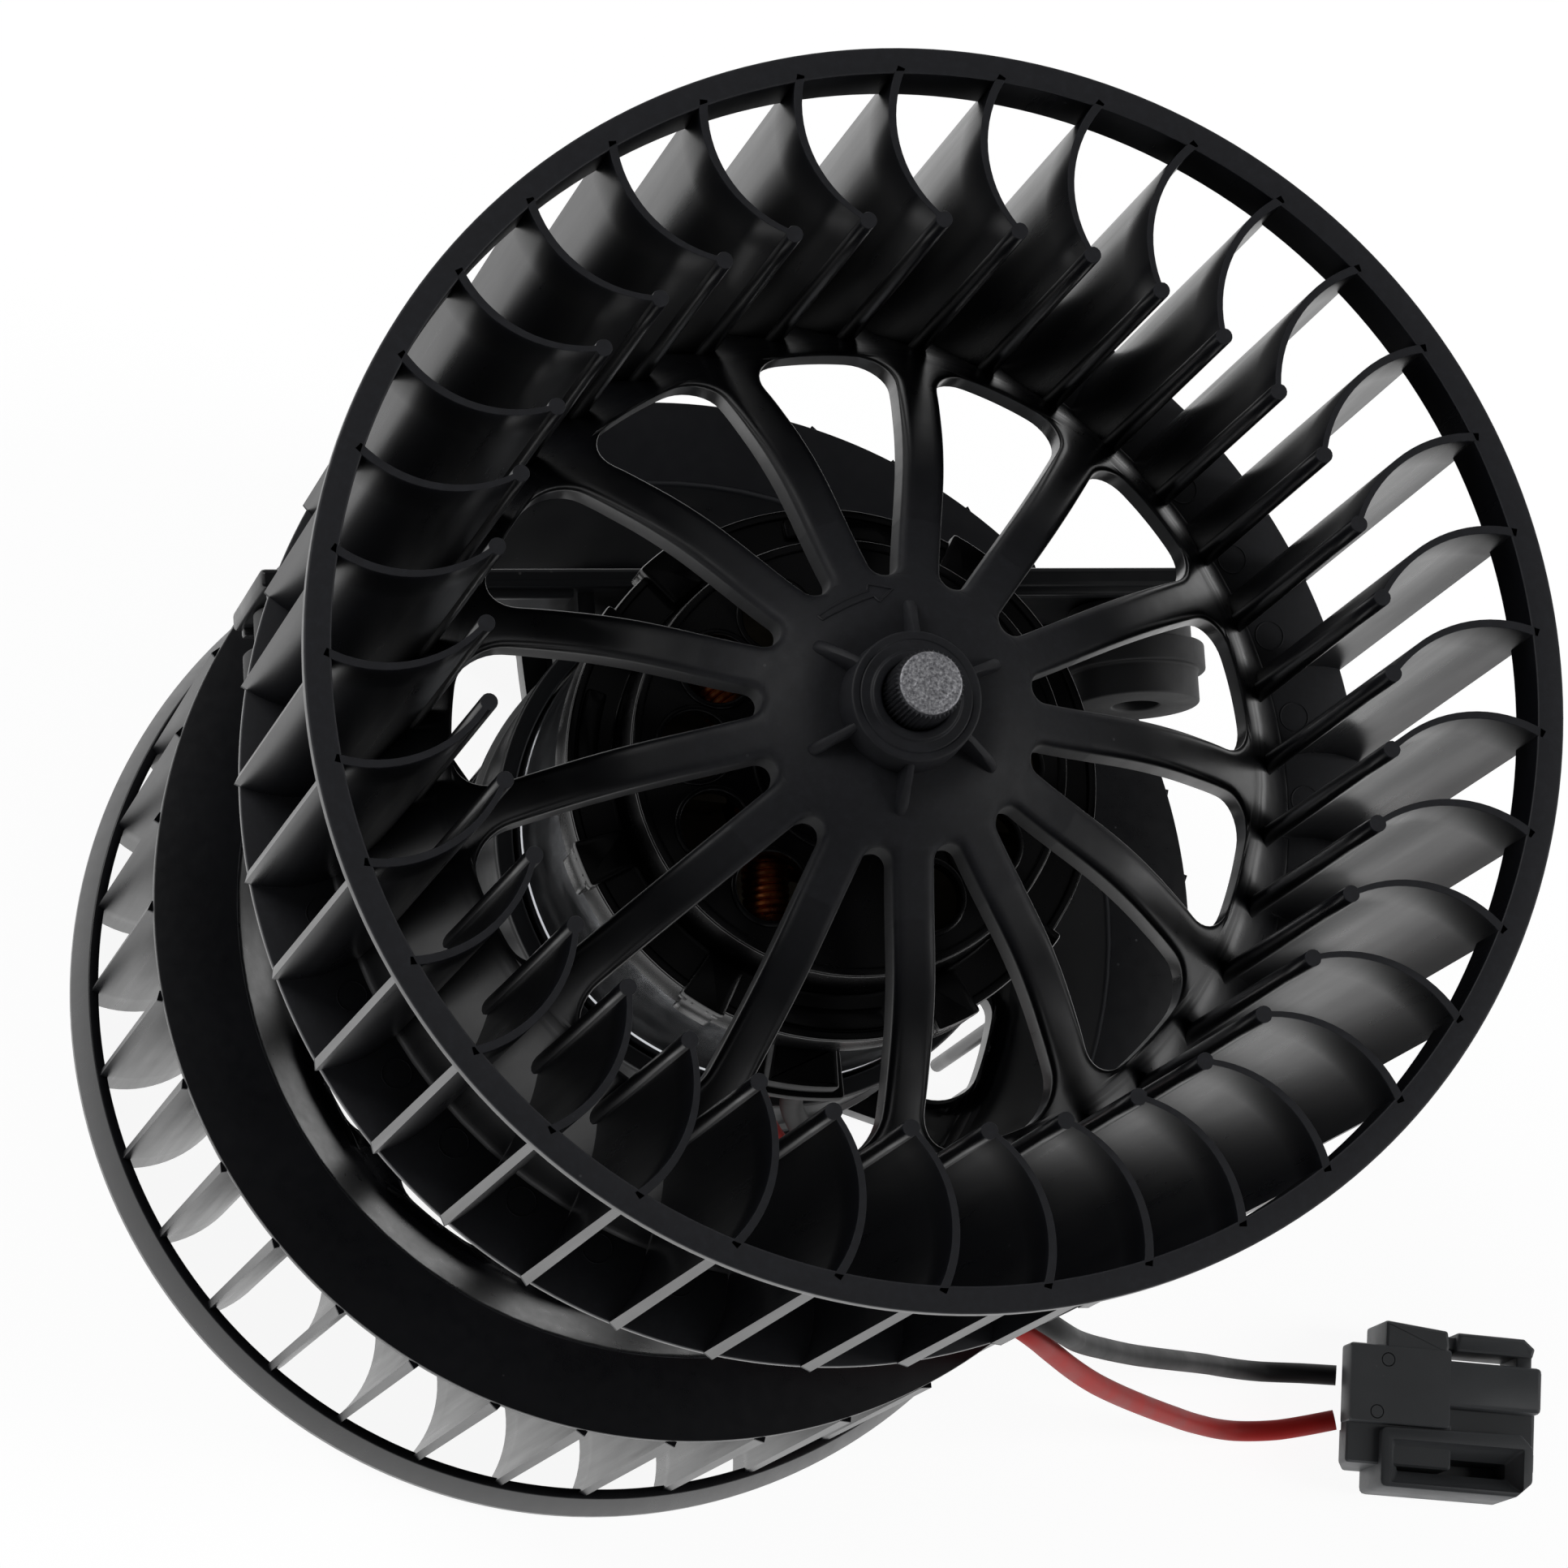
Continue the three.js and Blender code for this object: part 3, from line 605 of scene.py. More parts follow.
def turned_steel(name):
    """Steel shaft: rough sawn end faces with concentric marks, bright knurls, darker in between."""
    g = Graph(name)
    height = g.axial_height()
    face = MIDDLE - SHAFT_END
    end = g.ramp_mm(height, face - 0.35, face - 0.15)
    knurl = g.ramp_mm(height, face - KNURL_LENGTH - 0.7, face - KNURL_LENGTH - 0.2)
    grit = g.noise(2600, 4, 0.75, seed=1.7)
    waves = {"Vector": g.place, "Scale": 210, "Distortion": 3.5, "Detail": 3.0, "Detail Scale": 6.0}
    rings = g.add("ShaderNodeTexWave", waves, wave_type="RINGS", rings_direction="Z").outputs["Fac"]
    flank = g.tint([linear((150, 151, 154)), linear((196, 198, 201))], grit, 0.35, 0.65)
    sawn_tones = [linear((112, 112, 116)), linear((176, 176, 180)), linear((228, 228, 230))]
    sawn = g.tint(sawn_tones, grit, 0.32, 0.68)
    inputs = {
        "Base Color": g.mix(end, g.mix(knurl, flank, linear((92, 93, 97))), sawn),
        "Metallic": 1.0,
        "Roughness": g.math("MULTIPLY_ADD", end, 0.22, g.ramp(grit, 0.3, 0.7, 0.3, 0.44)),
    }
    return g.surface(inputs, [(grit, 0.55, 0.05), (g.math("MULTIPLY", rings, end), 0.6, 0.12)])


def bare_metal(name, rgb, rough, stretch, grain=0.01):
    """Plated or ground metal with drawn streaks, duller spots and fine pits."""
    g = Graph(name)
    base = linear(rgb)
    streak = g.noise(220, 5, 0.65, stretch=stretch, seed=1.9)
    patch = g.noise(85, 5, 0.6, seed=6.4)
    pits = g.noise(1500, 4, 0.7, seed=9.2)
    dull = g.ramp(patch, 0.35, 0.7, rough * 0.65, rough * 1.35)
    inputs = {
        "Base Color": g.tint([shade(base, 0.6), base, shade(base, 1.12)], patch, 0.28, 0.66),
        "Metallic": 1.0,
        "Roughness": g.math("MULTIPLY_ADD", streak, rough * 0.5, dull),
    }
    return g.surface(inputs, [(streak, 0.3, grain), (pits, 0.3, grain * 1.5)])


def enamelled_copper(name):
    """Copper wire under amber enamel."""
    g = Graph(name)
    base = linear((190, 96, 40))
    patch = g.noise(400, 4, 0.6, seed=2.7)
    strands = g.noise(700, 3, 0.6, stretch=(1, 1, 4), seed=1.1)
    inputs = {
        "Base Color": g.tint([shade(base, 0.35), base, linear((226, 140, 72))], patch, 0.3, 0.7),
        "Metallic": 0.9,
        "Coat Weight": 0.6,
        "Coat Roughness": 0.15,
        "Roughness": g.ramp(patch, 0.3, 0.7, 0.22, 0.4),
    }
    return g.surface(inputs, [(strands, 0.5, 0.08)])


def laminated_steel(name):
    """Stack of thin sheets: fine bands across the axis, dark varnish and a little rust."""
    g = Graph(name)
    base = linear((92, 94, 97))
    waves = {"Vector": g.place, "Scale": 1000, "Distortion": 0.4, "Detail": 1.0}
    bands = g.add("ShaderNodeTexWave", waves, bands_direction="Z").outputs["Fac"]
    rust = g.noise(120, 5, 0.65, seed=4.8)
    clean = g.tint([shade(base, 0.35), base], bands, 0.2, 0.8)
    inputs = {
        "Base Color": g.mix(g.ramp(rust, 0.6, 0.75, 0, 0.5), clean, linear((96, 62, 40))),
        "Metallic": 0.8,
        "Roughness": g.ramp(rust, 0.3, 0.7, 0.35, 0.6),
    }
    return g.surface(inputs, [(bands, 0.6, 0.06)])


def pressed_grain(name, rgb, rough, scale, spread, height):
    """Pressed or sintered material with a visible grain."""
    g = Graph(name)
    base = linear(rgb)
    grain = g.noise(scale, 5, 0.7, seed=3.3)
    cloud = g.noise(scale * 0.08, 3, 0.6, seed=5.5)
    fresh = g.tint([shade(base, 1 - spread), base, shade(base, 1 + spread)], grain, 0.3, 0.7)
    inputs = {
        "Base Color": g.mix(g.ramp(cloud, 0.45, 0.65, 0, 0.5), fresh, shade(base, 0.6)),
        "Roughness": g.ramp(grain, 0.3, 0.7, rough * 0.85, min(1, rough * 1.15)),
    }
    return g.surface(inputs, [(grain, 0.5, height)])


def lead_insulation(name, rgb):
    """Extruded insulation: satin skin, faint rubbed patches and handling marks."""
    g = Graph(name)
    base = linear(rgb)
    rub = g.noise(90, 4, 0.6, seed=2.4)
    fine = g.noise(1500, 3, 0.6, seed=7.1)
    inputs = {
        "Base Color": g.tint([shade(base, 0.82), base, shade(base, 1.15)], rub, 0.32, 0.68),
        "Roughness": g.ramp(rub, 0.3, 0.7, 0.5, 0.66),
        "Specular IOR Level": 0.28,
    }
    return g.surface(inputs, [(fine, 0.25, 0.01), (rub, 0.15, 0.05)])


RECIPES = {
    "wheel_plastic": (wheel_plastic,),
    "shield_plastic": (moulded_plastic, (15, 15, 17), 0.26, 0.004),
    "carrier_plastic": (moulded_plastic, (20, 21, 23), 0.36, 0.006, 0.3),
    "zinc_steel": (bare_metal, (196, 198, 202), 0.13, (5, 5, 0.25), 0.02),
    "shaft_steel": (turned_steel,),
    "core_steel": (laminated_steel,),
    "copper": (enamelled_copper,),
    "bronze": (pressed_grain, (160, 122, 69), 0.55, 1200, 0.3, 0.02),
    "ferrite": (pressed_grain, (58, 58, 60), 0.75, 700, 0.2, 0.02),
    "carbon": (pressed_grain, (42, 42, 44), 0.6, 1500, 0.25, 0.015),
    "card_plastic": (pressed_grain, (138, 127, 106), 0.6, 420, 0.2, 0.02),
    "fibre": (pressed_grain, (106, 74, 42), 0.65, 500, 0.25, 0.03),
    "spacer_plastic": (moulded_plastic, (201, 195, 176), 0.45),
    "rubber": (moulded_plastic, (30, 30, 31), 0.62, 0.03, 0.5),
    "spring_steel": (bare_metal, (182, 183, 186), 0.2, (1, 1, 6)),
    "wire_red": (lead_insulation, (160, 22, 16)),
    "wire_black": (lead_insulation, (9, 9, 10)),
    "plug_plastic": (moulded_plastic, (62, 64, 66), 0.5, 0.012, 0.4),
    "tin": (bare_metal, (200, 197, 186), 0.25, (4, 1, 1)),
}
MATERIALS = {slot: build(slot, *values) for slot, (build, *values) in RECIPES.items()}


# ---- one wheel, drawn by depth below its rim face ----
BELL_PROFILE = [
    (6, 19.5), (12, 19.9), (16, 21.6), (19.5, 23.3), (23, 24.6), (28, 26.1), (32, 27.7), (35, 29.4),
    (38, 31.5), (41, 34.0), (43.5, 36.2), (46.5, 39.3), (50, 43.3), (52.3, 45.9), (52.9, 46.9), (56, 53.8),
    (60, 62.9), (61.2, 65.6), (61.9, 66.8), (BELL_R, 67.2),
]


def bell_depth(r):
    """Depth of the bell's front face at that radius: domed to the shoulder, then steep down to the disk.
    A small step runs round the hub and a fine line round the shoulder."""
    r = np.asarray(r, float)
    step = HUB_STEP * np.clip((r - HUB_STEP_R) / 0.15 + 0.5, 0, 1)
    line = 0.12 * np.exp(-(((r - SHOULDER_R + 0.55) / 0.13) ** 2))
    return hermite(r, BELL_PROFILE) + step + line


def web_thickness(r):
    """Depth of the wall along the axis that keeps it evenly thick across."""
    reach = 0.3
    slope = (hermite(r + reach, BELL_PROFILE) - hermite(r - reach, BELL_PROFILE)) / (2 * reach)
    return WEB_T * np.sqrt(1 + slope**2)


def window_edge():
    """Half of a window's outline in its own plane, from the inner tip to the outer middle; X runs out."""
    half = math.radians(HALF_PITCH)
    tip_r = WINDOW_IN_R * math.sin(half) - SPOKE_HALF
    tip = arc((WINDOW_IN_R, 0), tip_r, math.pi, math.pi / 2 + half, 8)
    reach = WINDOW_OUT_R - WINDOW_CORNER_R
    lean = half - math.asin((SPOKE_HALF + WINDOW_CORNER_R) / reach)
    centre = (reach * math.cos(lean), reach * math.sin(lean))
    corner = arc(centre, WINDOW_CORNER_R, math.pi / 2 + half, lean, 9)
    start, end = tip[-1], corner[0]
    steps = 22
    side = []
    for i in range(1, steps):
        t = i / steps
        side.append((start[0] + (end[0] - start[0]) * t, start[1] + (end[1] - start[1]) * t))
    return tip + side + corner + arc((0, 0), WINDOW_OUT_R, lean, 0, 8)[1:]


def edge_distance(points, edge):
    """Distance of each point to the polyline, both in one window's half plane."""
    p = np.asarray(points, float)[:, None, :]
    a = np.asarray(edge, float)[:-1][None]
    b = np.asarray(edge, float)[1:][None]
    t = np.clip(((p - a) * (b - a)).sum(-1) / ((b - a) ** 2).sum(-1), 0, 1)
    return np.linalg.norm(p - (a + (b - a) * t[..., None]), axis=-1).min(axis=1)


def spoke_rows(edge):
    """Rows across one sector as (radius at its sides, degrees of the sides, radius in the middle)."""
    polar_edge = [(math.hypot(x, y), math.degrees(math.atan2(y, x))) for x, y in edge]
    tip = polar_edge[0][0]
    rows = [(r, HALF_PITCH, r) for r in (6, 8, 10, 11.5, 13, 14.2, 15.2)]
    rows += [(tip - EDGE_R * f, HALF_PITCH, tip - EDGE_R * f) for f in (1, 0.62, 0.35, 0.15, 0.04)]
    bulge = 0.0
    for r, deg in polar_edge:
        if r >= WINDOW_OUT_R - 1e-6:
            bulge += 0.09
        rows.append((r, HALF_PITCH - deg, r + bulge))
    for f in (0.04, 0.15, 0.35, 0.62, 1.0):
        bulge *= 0.9
        r = WINDOW_OUT_R + EDGE_R * f
        rows.append((r, HALF_PITCH, r + bulge))
    rows += [(r, HALF_PITCH, r + bulge * 0.5) for r in (51.3, 51.55, 51.8, 52.0)]
    skirt = (SHOULDER_R, 52.6, 52.9, 53.4, 54.5, 56, 58, 59.5, 60.3, 60.8, 61.3, 61.7, 62.1, BELL_R)
    rows += [(r, HALF_PITCH, r) for r in skirt]
    return rows


def spoke_sector():
    """One thirteenth of the bell: a spoke with rounded shoulders, side walls and a hollow back."""
    edge = window_edge()
    rows = spoke_rows(edge)
    offsets = [EDGE_R * f for f in (0, 0.04, 0.15, 0.35, 0.62, 1)]
    front, back = [], []
    for r_side, reach, r_mid in rows:
        width = math.radians(reach) * r_side
        sides = [1 - t / width for t in offsets]
        inner = [sides[-1] * k / 3 for k in (2, 1)]
        u = np.array([-c for c in sides + inner] + [0.0] + inner[::-1] + sides[::-1])
        r = r_side + (r_mid - r_side) * (1 - u * u)
        deg = reach * u
        off_middle = np.radians(HALF_PITCH - np.abs(deg))
        flat = np.stack([r * np.cos(off_middle), r * np.sin(off_middle)], axis=1)
        gap = edge_distance(flat, edge)
        near = np.clip(1 - gap / EDGE_R, 0, 1)
        drop = EDGE_R * (1 - np.sqrt(np.maximum(1 - near**2, 0)))
        depth = bell_depth(r)
        wall = np.clip((EDGE_R - gap) / (0.38 * EDGE_R), 0, 1)
        web = web_thickness(r)
        thick = web + np.maximum(WALL_DEPTH - web, 0) * wall
        floor = CAGE_DEPTH - 0.02 * (BELL_R - np.minimum(r, BELL_R))
        bottom = np.minimum(depth + thick, floor)
        x, y = r * np.cos(np.radians(deg)), r * np.sin(np.radians(deg))
        front.append(list(zip(x, y, depth + drop)))
        back.append(list(zip(x, y, bottom)))
    return front, back


def spoked_hub():
    """The bell with its thirteen spokes, boss, gussets and turning arrow."""
    front, back = spoke_sector()
    sector_shape = Shape()
    wide = len(front[0])
    sector_shape.loft(front, round_ring=False, caps=False)
    sector_shape.loft(back, round_ring=False, caps=False)
    base = len(front) * wide
    open_rows = [i for i, row in enumerate(spoke_rows(window_edge())) if row[1] < HALF_PITCH - 1e-6]
    first, last = open_rows[0] - 1, open_rows[-1] + 1
    for side in (0, wide - 1):
        for i in range(first, last):
            a, b = i * wide + side, (i + 1) * wide + side
            sector_shape.faces.append((a, b, base + b, base + a))
    for row in (0, len(front) - 1):
        for j in range(wide - 1):
            a = row * wide + j
            sector_shape.faces.append((a, a + 1, base + a + 1, base + a))
    hub = Shape()
    for k in range(SPOKES):
        hub.turned_copy(sector_shape, SPOKE_PHASE + k * 360 / SPOKES)
    hub.lathe(boss_profile(), 96)
    for k in range(GUSSETS):
        hub.turned_copy(gusset(), GUSSET_PHASE + k * 360 / GUSSETS)
    arrow(hub)
    return hub


def boss_profile():
    """Section of the boss that grips the shaft, with a raised lip round the bore and a fine groove."""
    bore = SHAFT_R + 0.3
    return soften([
        (bore, BOSS_TOP - 0.35), (5.35, BOSS_TOP - 0.35), (5.6, BOSS_TOP), (6.7, BOSS_TOP),
        (6.82, BOSS_TOP + 0.12), (6.94, BOSS_TOP), (BOSS_R - 0.1, BOSS_TOP), (BOSS_R + 0.2, 20.4),
        (BOSS_R + 0.4, 26), (BOSS_R, 34), (bore, 34),
    ], 0.3)


def gusset():
    """Thin triangular rib from the boss down to the hub, drafted towards its crest."""
    rib = Shape()
    stations = [
        (6.6, 15.4, 0.5), (8.6, 15.8, 0.5), (10.4, 17.1, 0.56), (11.8, 18.2, 0.66), (12.5, 18.9, 0.66),
        (12.95, 19.5, 0.52), (13.15, 20.3, 0.25),
    ]
    rings = []
    for r, top, half in stations:
        rings.append([
            (r, -half * 1.35, 21.2), (r, -half, top + 0.4), (r, -half * 0.7, top + 0.1), (r, 0, top),
            (r, half * 0.7, top + 0.1), (r, half, top + 0.4), (r, half * 1.35, 21.2),
        ])
    return rib.loft(rings)


def arrow(hub):
    """Raised outline of the turning arrow on the hub, pointing clockwise."""
    outline = [(14.9, 137), (14.75, 128), (14.7, 119), (14.8, 110), (15.6, 108.6), (14.55, 98.2)]
    outline += [(13.1, 106.6), (13.9, 108.2), (13.75, 118), (13.85, 128), (14.2, 137)]
    path = []
    for (r0, a0), (r1, a1) in zip(outline, outline[1:] + outline[:1]):
        for i in range(5):
            t = i / 5
            r, a = r0 + (r1 - r0) * t, a0 + (a1 - a0) * t
            path.append((*polar(r, a), float(bell_depth(r)) - 0.02))
    path.append(path[0])
    tube_along(hub, path, 0.17, 8)


def blade_section(gain):
    """Section of one blade at a thickness gain: two long sides and the bead, bead on +X."""
    start, tip = Vector((BEAD_RING_R, 0)), Vector(BLADE_TIP)
    chord = tip - start
    rise = math.sqrt(BLADE_ARC_R**2 - (chord.length / 2) ** 2)
    centre = (start + tip) / 2 + Vector((chord.y, -chord.x)).normalized() * rise
    a0 = math.atan2(start.y - centre.y, start.x - centre.x)
    a1 = math.atan2(tip.y - centre.y, tip.x - centre.x)
    sides = ([], [])
    for i in range(17):
        t = i / 16
        a = a0 + (a1 - a0) * (0.045 + 0.955 * t)
        half = 0.45 * gain * (0.82 + 0.45 * t)
        for side, sign in zip(sides, (1, -1)):
            r = BLADE_ARC_R + sign * half
            side.append((centre.x + r * math.cos(a), centre.y + r * math.sin(a)))
    bead = BEAD_R * (0.55 + 0.45 * gain)
    outer, inner = sides
    edges = [math.atan2(p[1], p[0] - BEAD_RING_R) for p in (outer[0], inner[0])]
    while edges[1] < edges[0]:
        edges[1] += TAU
    nose = []
    for i in range(1, 14):
        a = edges[0] + (edges[1] - edges[0]) * i / 14
        nose.append((BEAD_RING_R + bead * math.cos(a), bead * math.sin(a)))
    return outer[::-1] + nose + inner


def blade():
    """One blade from the rim face down to the bell and the disk, a little thicker at its foot."""
    rings = []
    for z, gain in ((0.0, 0.8), (0.1, 0.92), (10.0, 0.95), (40.0, 1.08)):
        rings.append([(x, y, z) for x, y in blade_section(gain)])
    foot = []
    for x, y in blade_section(1.2):
        ground = float(bell_depth(min(math.hypot(x, y), DISK_SEEN_R)))
        foot.append((x, y, min(ground + 0.5, CAGE_DEPTH - DISK_T + 0.4)))
    return Shape().loft([*rings, foot])


def blade_cage():
    """Rim hoop, thirty-seven curved blades and the flat disk ring with its ejector marks."""
    cage = Shape()
    rim = soften([(71.8, 0), (71.8, 8), (73.25, 8), (WHEEL_R, 1.6), (WHEEL_R, 0)], 0.3, 4)
    cage.lathe(rim, BLADES * 6)
    top, low = CAGE_DEPTH - DISK_T, CAGE_DEPTH
    disk = [
        (61.0, top + 0.9), (62.0, top + 0.03), (DISK_SEEN_R, top), (DISK_R - 0.25, top),
        (DISK_R - 0.07, top + 0.07), (DISK_R, top + 0.25), (DISK_R, low - 0.25), (DISK_R - 0.07, low - 0.07),
        (DISK_R - 0.25, low), (61.0, low),
    ]
    cage.lathe(disk, BLADES * 6)
    one = blade()
    mark = Shape().lathe(ring_profile(1.75, 1.95, 0.3, -0.06, 0.06, 2), 32)
    for k in range(BLADES):
        deg = BLADE_PHASE + k * BLADE_PITCH
        cage.turned_copy(one, deg)
        cage.moved_copy(mark, shift(*polar(MARK_RING_R, deg + MARK_TURN), top))
    return cage


def facing_down(shape):
    """The same wheel for the front end, its rim face at the top."""
    return Shape().add([(x, y, TOTAL - z) for x, y, z in shape.points], shape.faces)


def add_wheels():
    cage, hub = blade_cage(), spoked_hub()
    make("rear_wheel_cage", cage, "rotor", "wheel_plastic", cages("rear"))
    make("rear_wheel_hub", hub, "rotor", "wheel_plastic", ["rear_spoked_hub"], sharp=40)
    make("front_wheel_cage", facing_down(cage), "rotor", "wheel_plastic", cages("front"))
    make("front_wheel_hub", facing_down(hub), "rotor", "wheel_plastic", ["front_spoked_hub"], sharp=40)


# ---- shaft ----
def add_shaft():
    """Ground shaft with a fine knurl at both ends, where the wheels are pressed on."""
    teeth, per_tooth = 44, 4
    around = teeth * per_tooth
    knurl = [1.0, 0.55, 0.0, 0.55]

    def ring(z, r, depth):
        return [(*polar(r - depth * knurl[i % per_tooth], 360 * i / around), z) for i in range(around)]

    crest, groove = SHAFT_R + 0.25, 0.42
    ends = [
        (0, 0.4, 0), (0, 1.5, 0), (0, 2.6, 0), (0, 3.5, 0), (0.06, 3.68, 0), (0.22, 3.78, 0), (0.5, 3.86, 0),
        (0.85, crest, groove), (KNURL_LENGTH - 0.8, crest, groove), (KNURL_LENGTH, SHAFT_R - 0.1, 0),
    ]
    rings = [ring(SHAFT_END + z, r, depth) for z, r, depth in ends]
    rings += [ring(TOTAL - SHAFT_END - z, r, depth) for z, r, depth in ends[::-1]]
    make("motor_shaft", Shape().loft(rings), "rotor", "shaft_steel", ["shaft"], sharp=50)


# ---- motor body ----
VENT_R = 4.3
VENT_RING_R = 19.5
PLATE_Z = 166.2
SHOULDER_Z = 157.1
REAR_PLATE_Z = 57.5


def vent_places(count, skip=()):
    return [polar(VENT_RING_R, 92 + 360 / count * i) for i in range(count) if i not in skip]


def vent_cutters(places, z0, z1):
    cutters = Shape()
    for x, y in places:
        cutters.slab(circle(VENT_R, 40, (x, y)), z0, z1)
    return cutters


def vent_lips(shape, places, z, up):
    """Rounded lip round each vent; up is +1 for a front face and -1 for a rear one."""
    lip = ring_profile(VENT_R - 0.02, VENT_R + 0.75, -0.6, 0.45, 0.3)
    ring = Shape().lathe([(r, h * up) for r, h in lip], 40)
    for x, y in places:
        shape.moved_copy(ring, shift(x, y, z))


def front_shield():
    """Vented front plate with its bearing seat, sleeved over the can; its vent cutters and their places."""
    bore, end = YOKE_R + 0.3, YOKE_Z[1] + 0.3
    shell = soften([
        (5, 171.5), (9.3, 171.5), (10.3, PLATE_Z), (27.4, PLATE_Z), (27.8, SHOULDER_Z), (33.7, SHOULDER_Z),
        (33.7, 150), (bore, 150), (bore, end), (26, end), (26, PLATE_Z - 1.8), (9.5, PLATE_Z - 1.8),
        (9.2, 158), (7.4, 158), (7.4, 169.6), (5, 169.6),
    ], 0.6, 4)
    places = vent_places(12, (0, 6))
    return Shape().lathe(shell, 144), vent_cutters(places, 150, 180), places


def shield_trim():
    """Clip tabs, pads and ribs that stand on the front shield."""
    trim = Shape()
    for deg in (62, 134, 154, 206, 244, 300, 324):
        tab = soften(sector(28.4, 34.6, deg, 5, 6), 0.5, 2)
        trim.slab(tab, SHOULDER_Z - 1.4, SHOULDER_Z + 1.55, 0.35)
        hook = soften(sector(33.1, 34.6, deg, 4, 6), 0.4, 2)
        trim.slab(hook, 150.4, SHOULDER_Z + 0.6, 0.3)
    for deg in (92, 180, 272):
        pad = soften(sector(29.8, 32.4, deg, 13, 10), 0.7)
        trim.slab(pad, SHOULDER_Z - 0.6, SHOULDER_Z + 0.95, 0.4)
    beads = (
        (11.6, 12.5, PLATE_Z, 0.5, 96), (26.2, 27.3, PLATE_Z, 0.35, 144), (32.5, 33.6, SHOULDER_Z, 0.45, 144),
    )
    for r0, r1, z, height, segments in beads:
        trim.lathe(ring_profile(r0, r1, z - 0.4, z + height, 0.3), segments)
    return trim


def rear_shield():
    """The plainer rear plate, made the same way."""
    bore, end = YOKE_R + 0.3, YOKE_Z[0] - 0.3
    shell = soften([
        (5, 52.5), (9.3, 52.5), (10.3, REAR_PLATE_Z), (33.7, REAR_PLATE_Z), (33.7, 68), (bore, 68),
        (bore, end), (26, end), (26, 59.3), (9.5, 59.3), (9.2, 66), (7.4, 66), (7.4, 54.4), (5, 54.4),
    ], 0.6, 4)
    places = vent_places(6)
    return Shape().lathe(shell, 144), vent_cutters(places, 45, 70), places


def yoke():
    """Drawn steel can: two shallow grooves beside the carrier and a row of crimps near each end."""
    z0, z1 = YOKE_Z
    inner, waist = YOKE_R - 2.2, YOKE_R - 0.18
    wall = [(inner, z0), (YOKE_R, z0)]
    for z in (90.0, 121.4):
        wall += [(YOKE_R, z), (waist, z + 0.5), (waist, z + 1.4), (YOKE_R, z + 1.9)]
    wall += [(YOKE_R, z1), (inner, z1)]
    can = Shape().lathe(soften(wall, 0.5), 160)
    dimple = Shape().lathe(soften([(0.02, -0.6), (0.02, 0.12), (0.9, 0.1), (1.5, -0.6)], 0.2, 2), 20)
    for z in (72.5, 146.5):
        for k in range(8):
            can.moved_copy(dimple, turn(22.5 + 45 * k, "Z") @ shift(YOKE_R - 0.1, 0, z) @ turn(90, "Y"))
    return can


def choke(r, deg, axis_deg, z):
    """Suppression choke: copper helix on a ferrite rod; the two are separate pieces."""
    rod = Shape().lathe(rectangle(0.02, -6.6, 1.9, 6.6, 0.3), 24)
    turns, per_turn, wire, radius, half = 11, 18, 0.46, 2.5, 5.1
    steps = turns * per_turn
    line = [(*polar(radius, 360 * i / per_turn), half * (2 * i / steps - 1)) for i in range(steps + 1)]
    coil = tube_along(Shape(), line, wire, 8)
    place = shift(*polar(r, deg), z) @ turn(axis_deg, "Z") @ turn(90, "Y")
    return Shape().moved_copy(rod, place), Shape().moved_copy(coil, place)


def add_motor():
    shield, cutters, places = front_shield()
    make("front_end_shield", shield, "stator", "shield_plastic", ["front_shield"], cutters)
    trim = shield_trim()
    vent_lips(trim, places, PLATE_Z, 1)
    make("front_shield_trim", trim, "stator", "shield_plastic")
    shield, cutters, places = rear_shield()
    make("rear_end_shield", shield, "stator", "shield_plastic", ["rear_shield"], cutters)
    trim = Shape()
    vent_lips(trim, places, REAR_PLATE_Z, -1)
    make("rear_shield_trim", trim, "stator", "shield_plastic")
    make("motor_yoke", yoke(), "stator", "zinc_steel", ["yoke"])
    for name, deg, axis_deg in (("upper", 154, 128), ("lower", 243, 96)):
        rod, coil = choke(18.6, deg, axis_deg, 160.4)
        make(f"choke_{name}_rod", rod, "stator", "ferrite")
        make(f"choke_{name}_winding", coil, "stator", "copper", [f"choke_{name}"])


# ---- carrier and mounts ----
def carrier():
    """Hoop round the can and the ribbed cross bar; the cutters bore the bar for the mounts."""
    z0, z1 = BAR_Z
    bore, rim, waist = YOKE_R + 0.3, 35.2, 34.5
    strap = soften([
        (bore, z0), (rim, z0), (rim, z0 + 2.2), (waist, z0 + 3.0), (waist, z1 - 3.0), (rim, z1 - 2.2),
        (rim, z1), (bore, z1),
    ], 0.45)
    parts = Shape().lathe(strap, 144)
    parts.slab(rectangle(-64, 33.3, 64, 35.9, 0.7), z0, z1, 0.6)
    for side in (-1, 1):
        parts.block((side * 21 - 1.2, 27.5, z0 + 3), (side * 21 + 1.2, 34, z1 - 3), 0.4)
        parts.block((side * 37.5 - 0.9, 35.4, z0 + 2), (side * 37.5 + 0.9, 36.0, z1 - 2), 0.2)
    for z in (z0 + 1.6, z1 - 1.6):
        for side in (-1, 1):
            a, b = sorted((side * 23, side * 63))
            parts.block((a, 32.2, z - 0.9), (b, 33.8, z + 0.9), 0.3)
    cutters = Shape()
    hole = Shape().slab(circle(MOUNT_BORE_R, 40, (0, 0)), 20, 40)
    for side in (-1, 1):
        cutters.moved_copy(hole, shift(side * MOUNT_U, 0, MIDDLE) @ turn(-90, "X"))
    askew = turn(BRACKET_TURN, "Z")
    return Shape().moved_copy(parts, askew), Shape().moved_copy(cutters, askew)


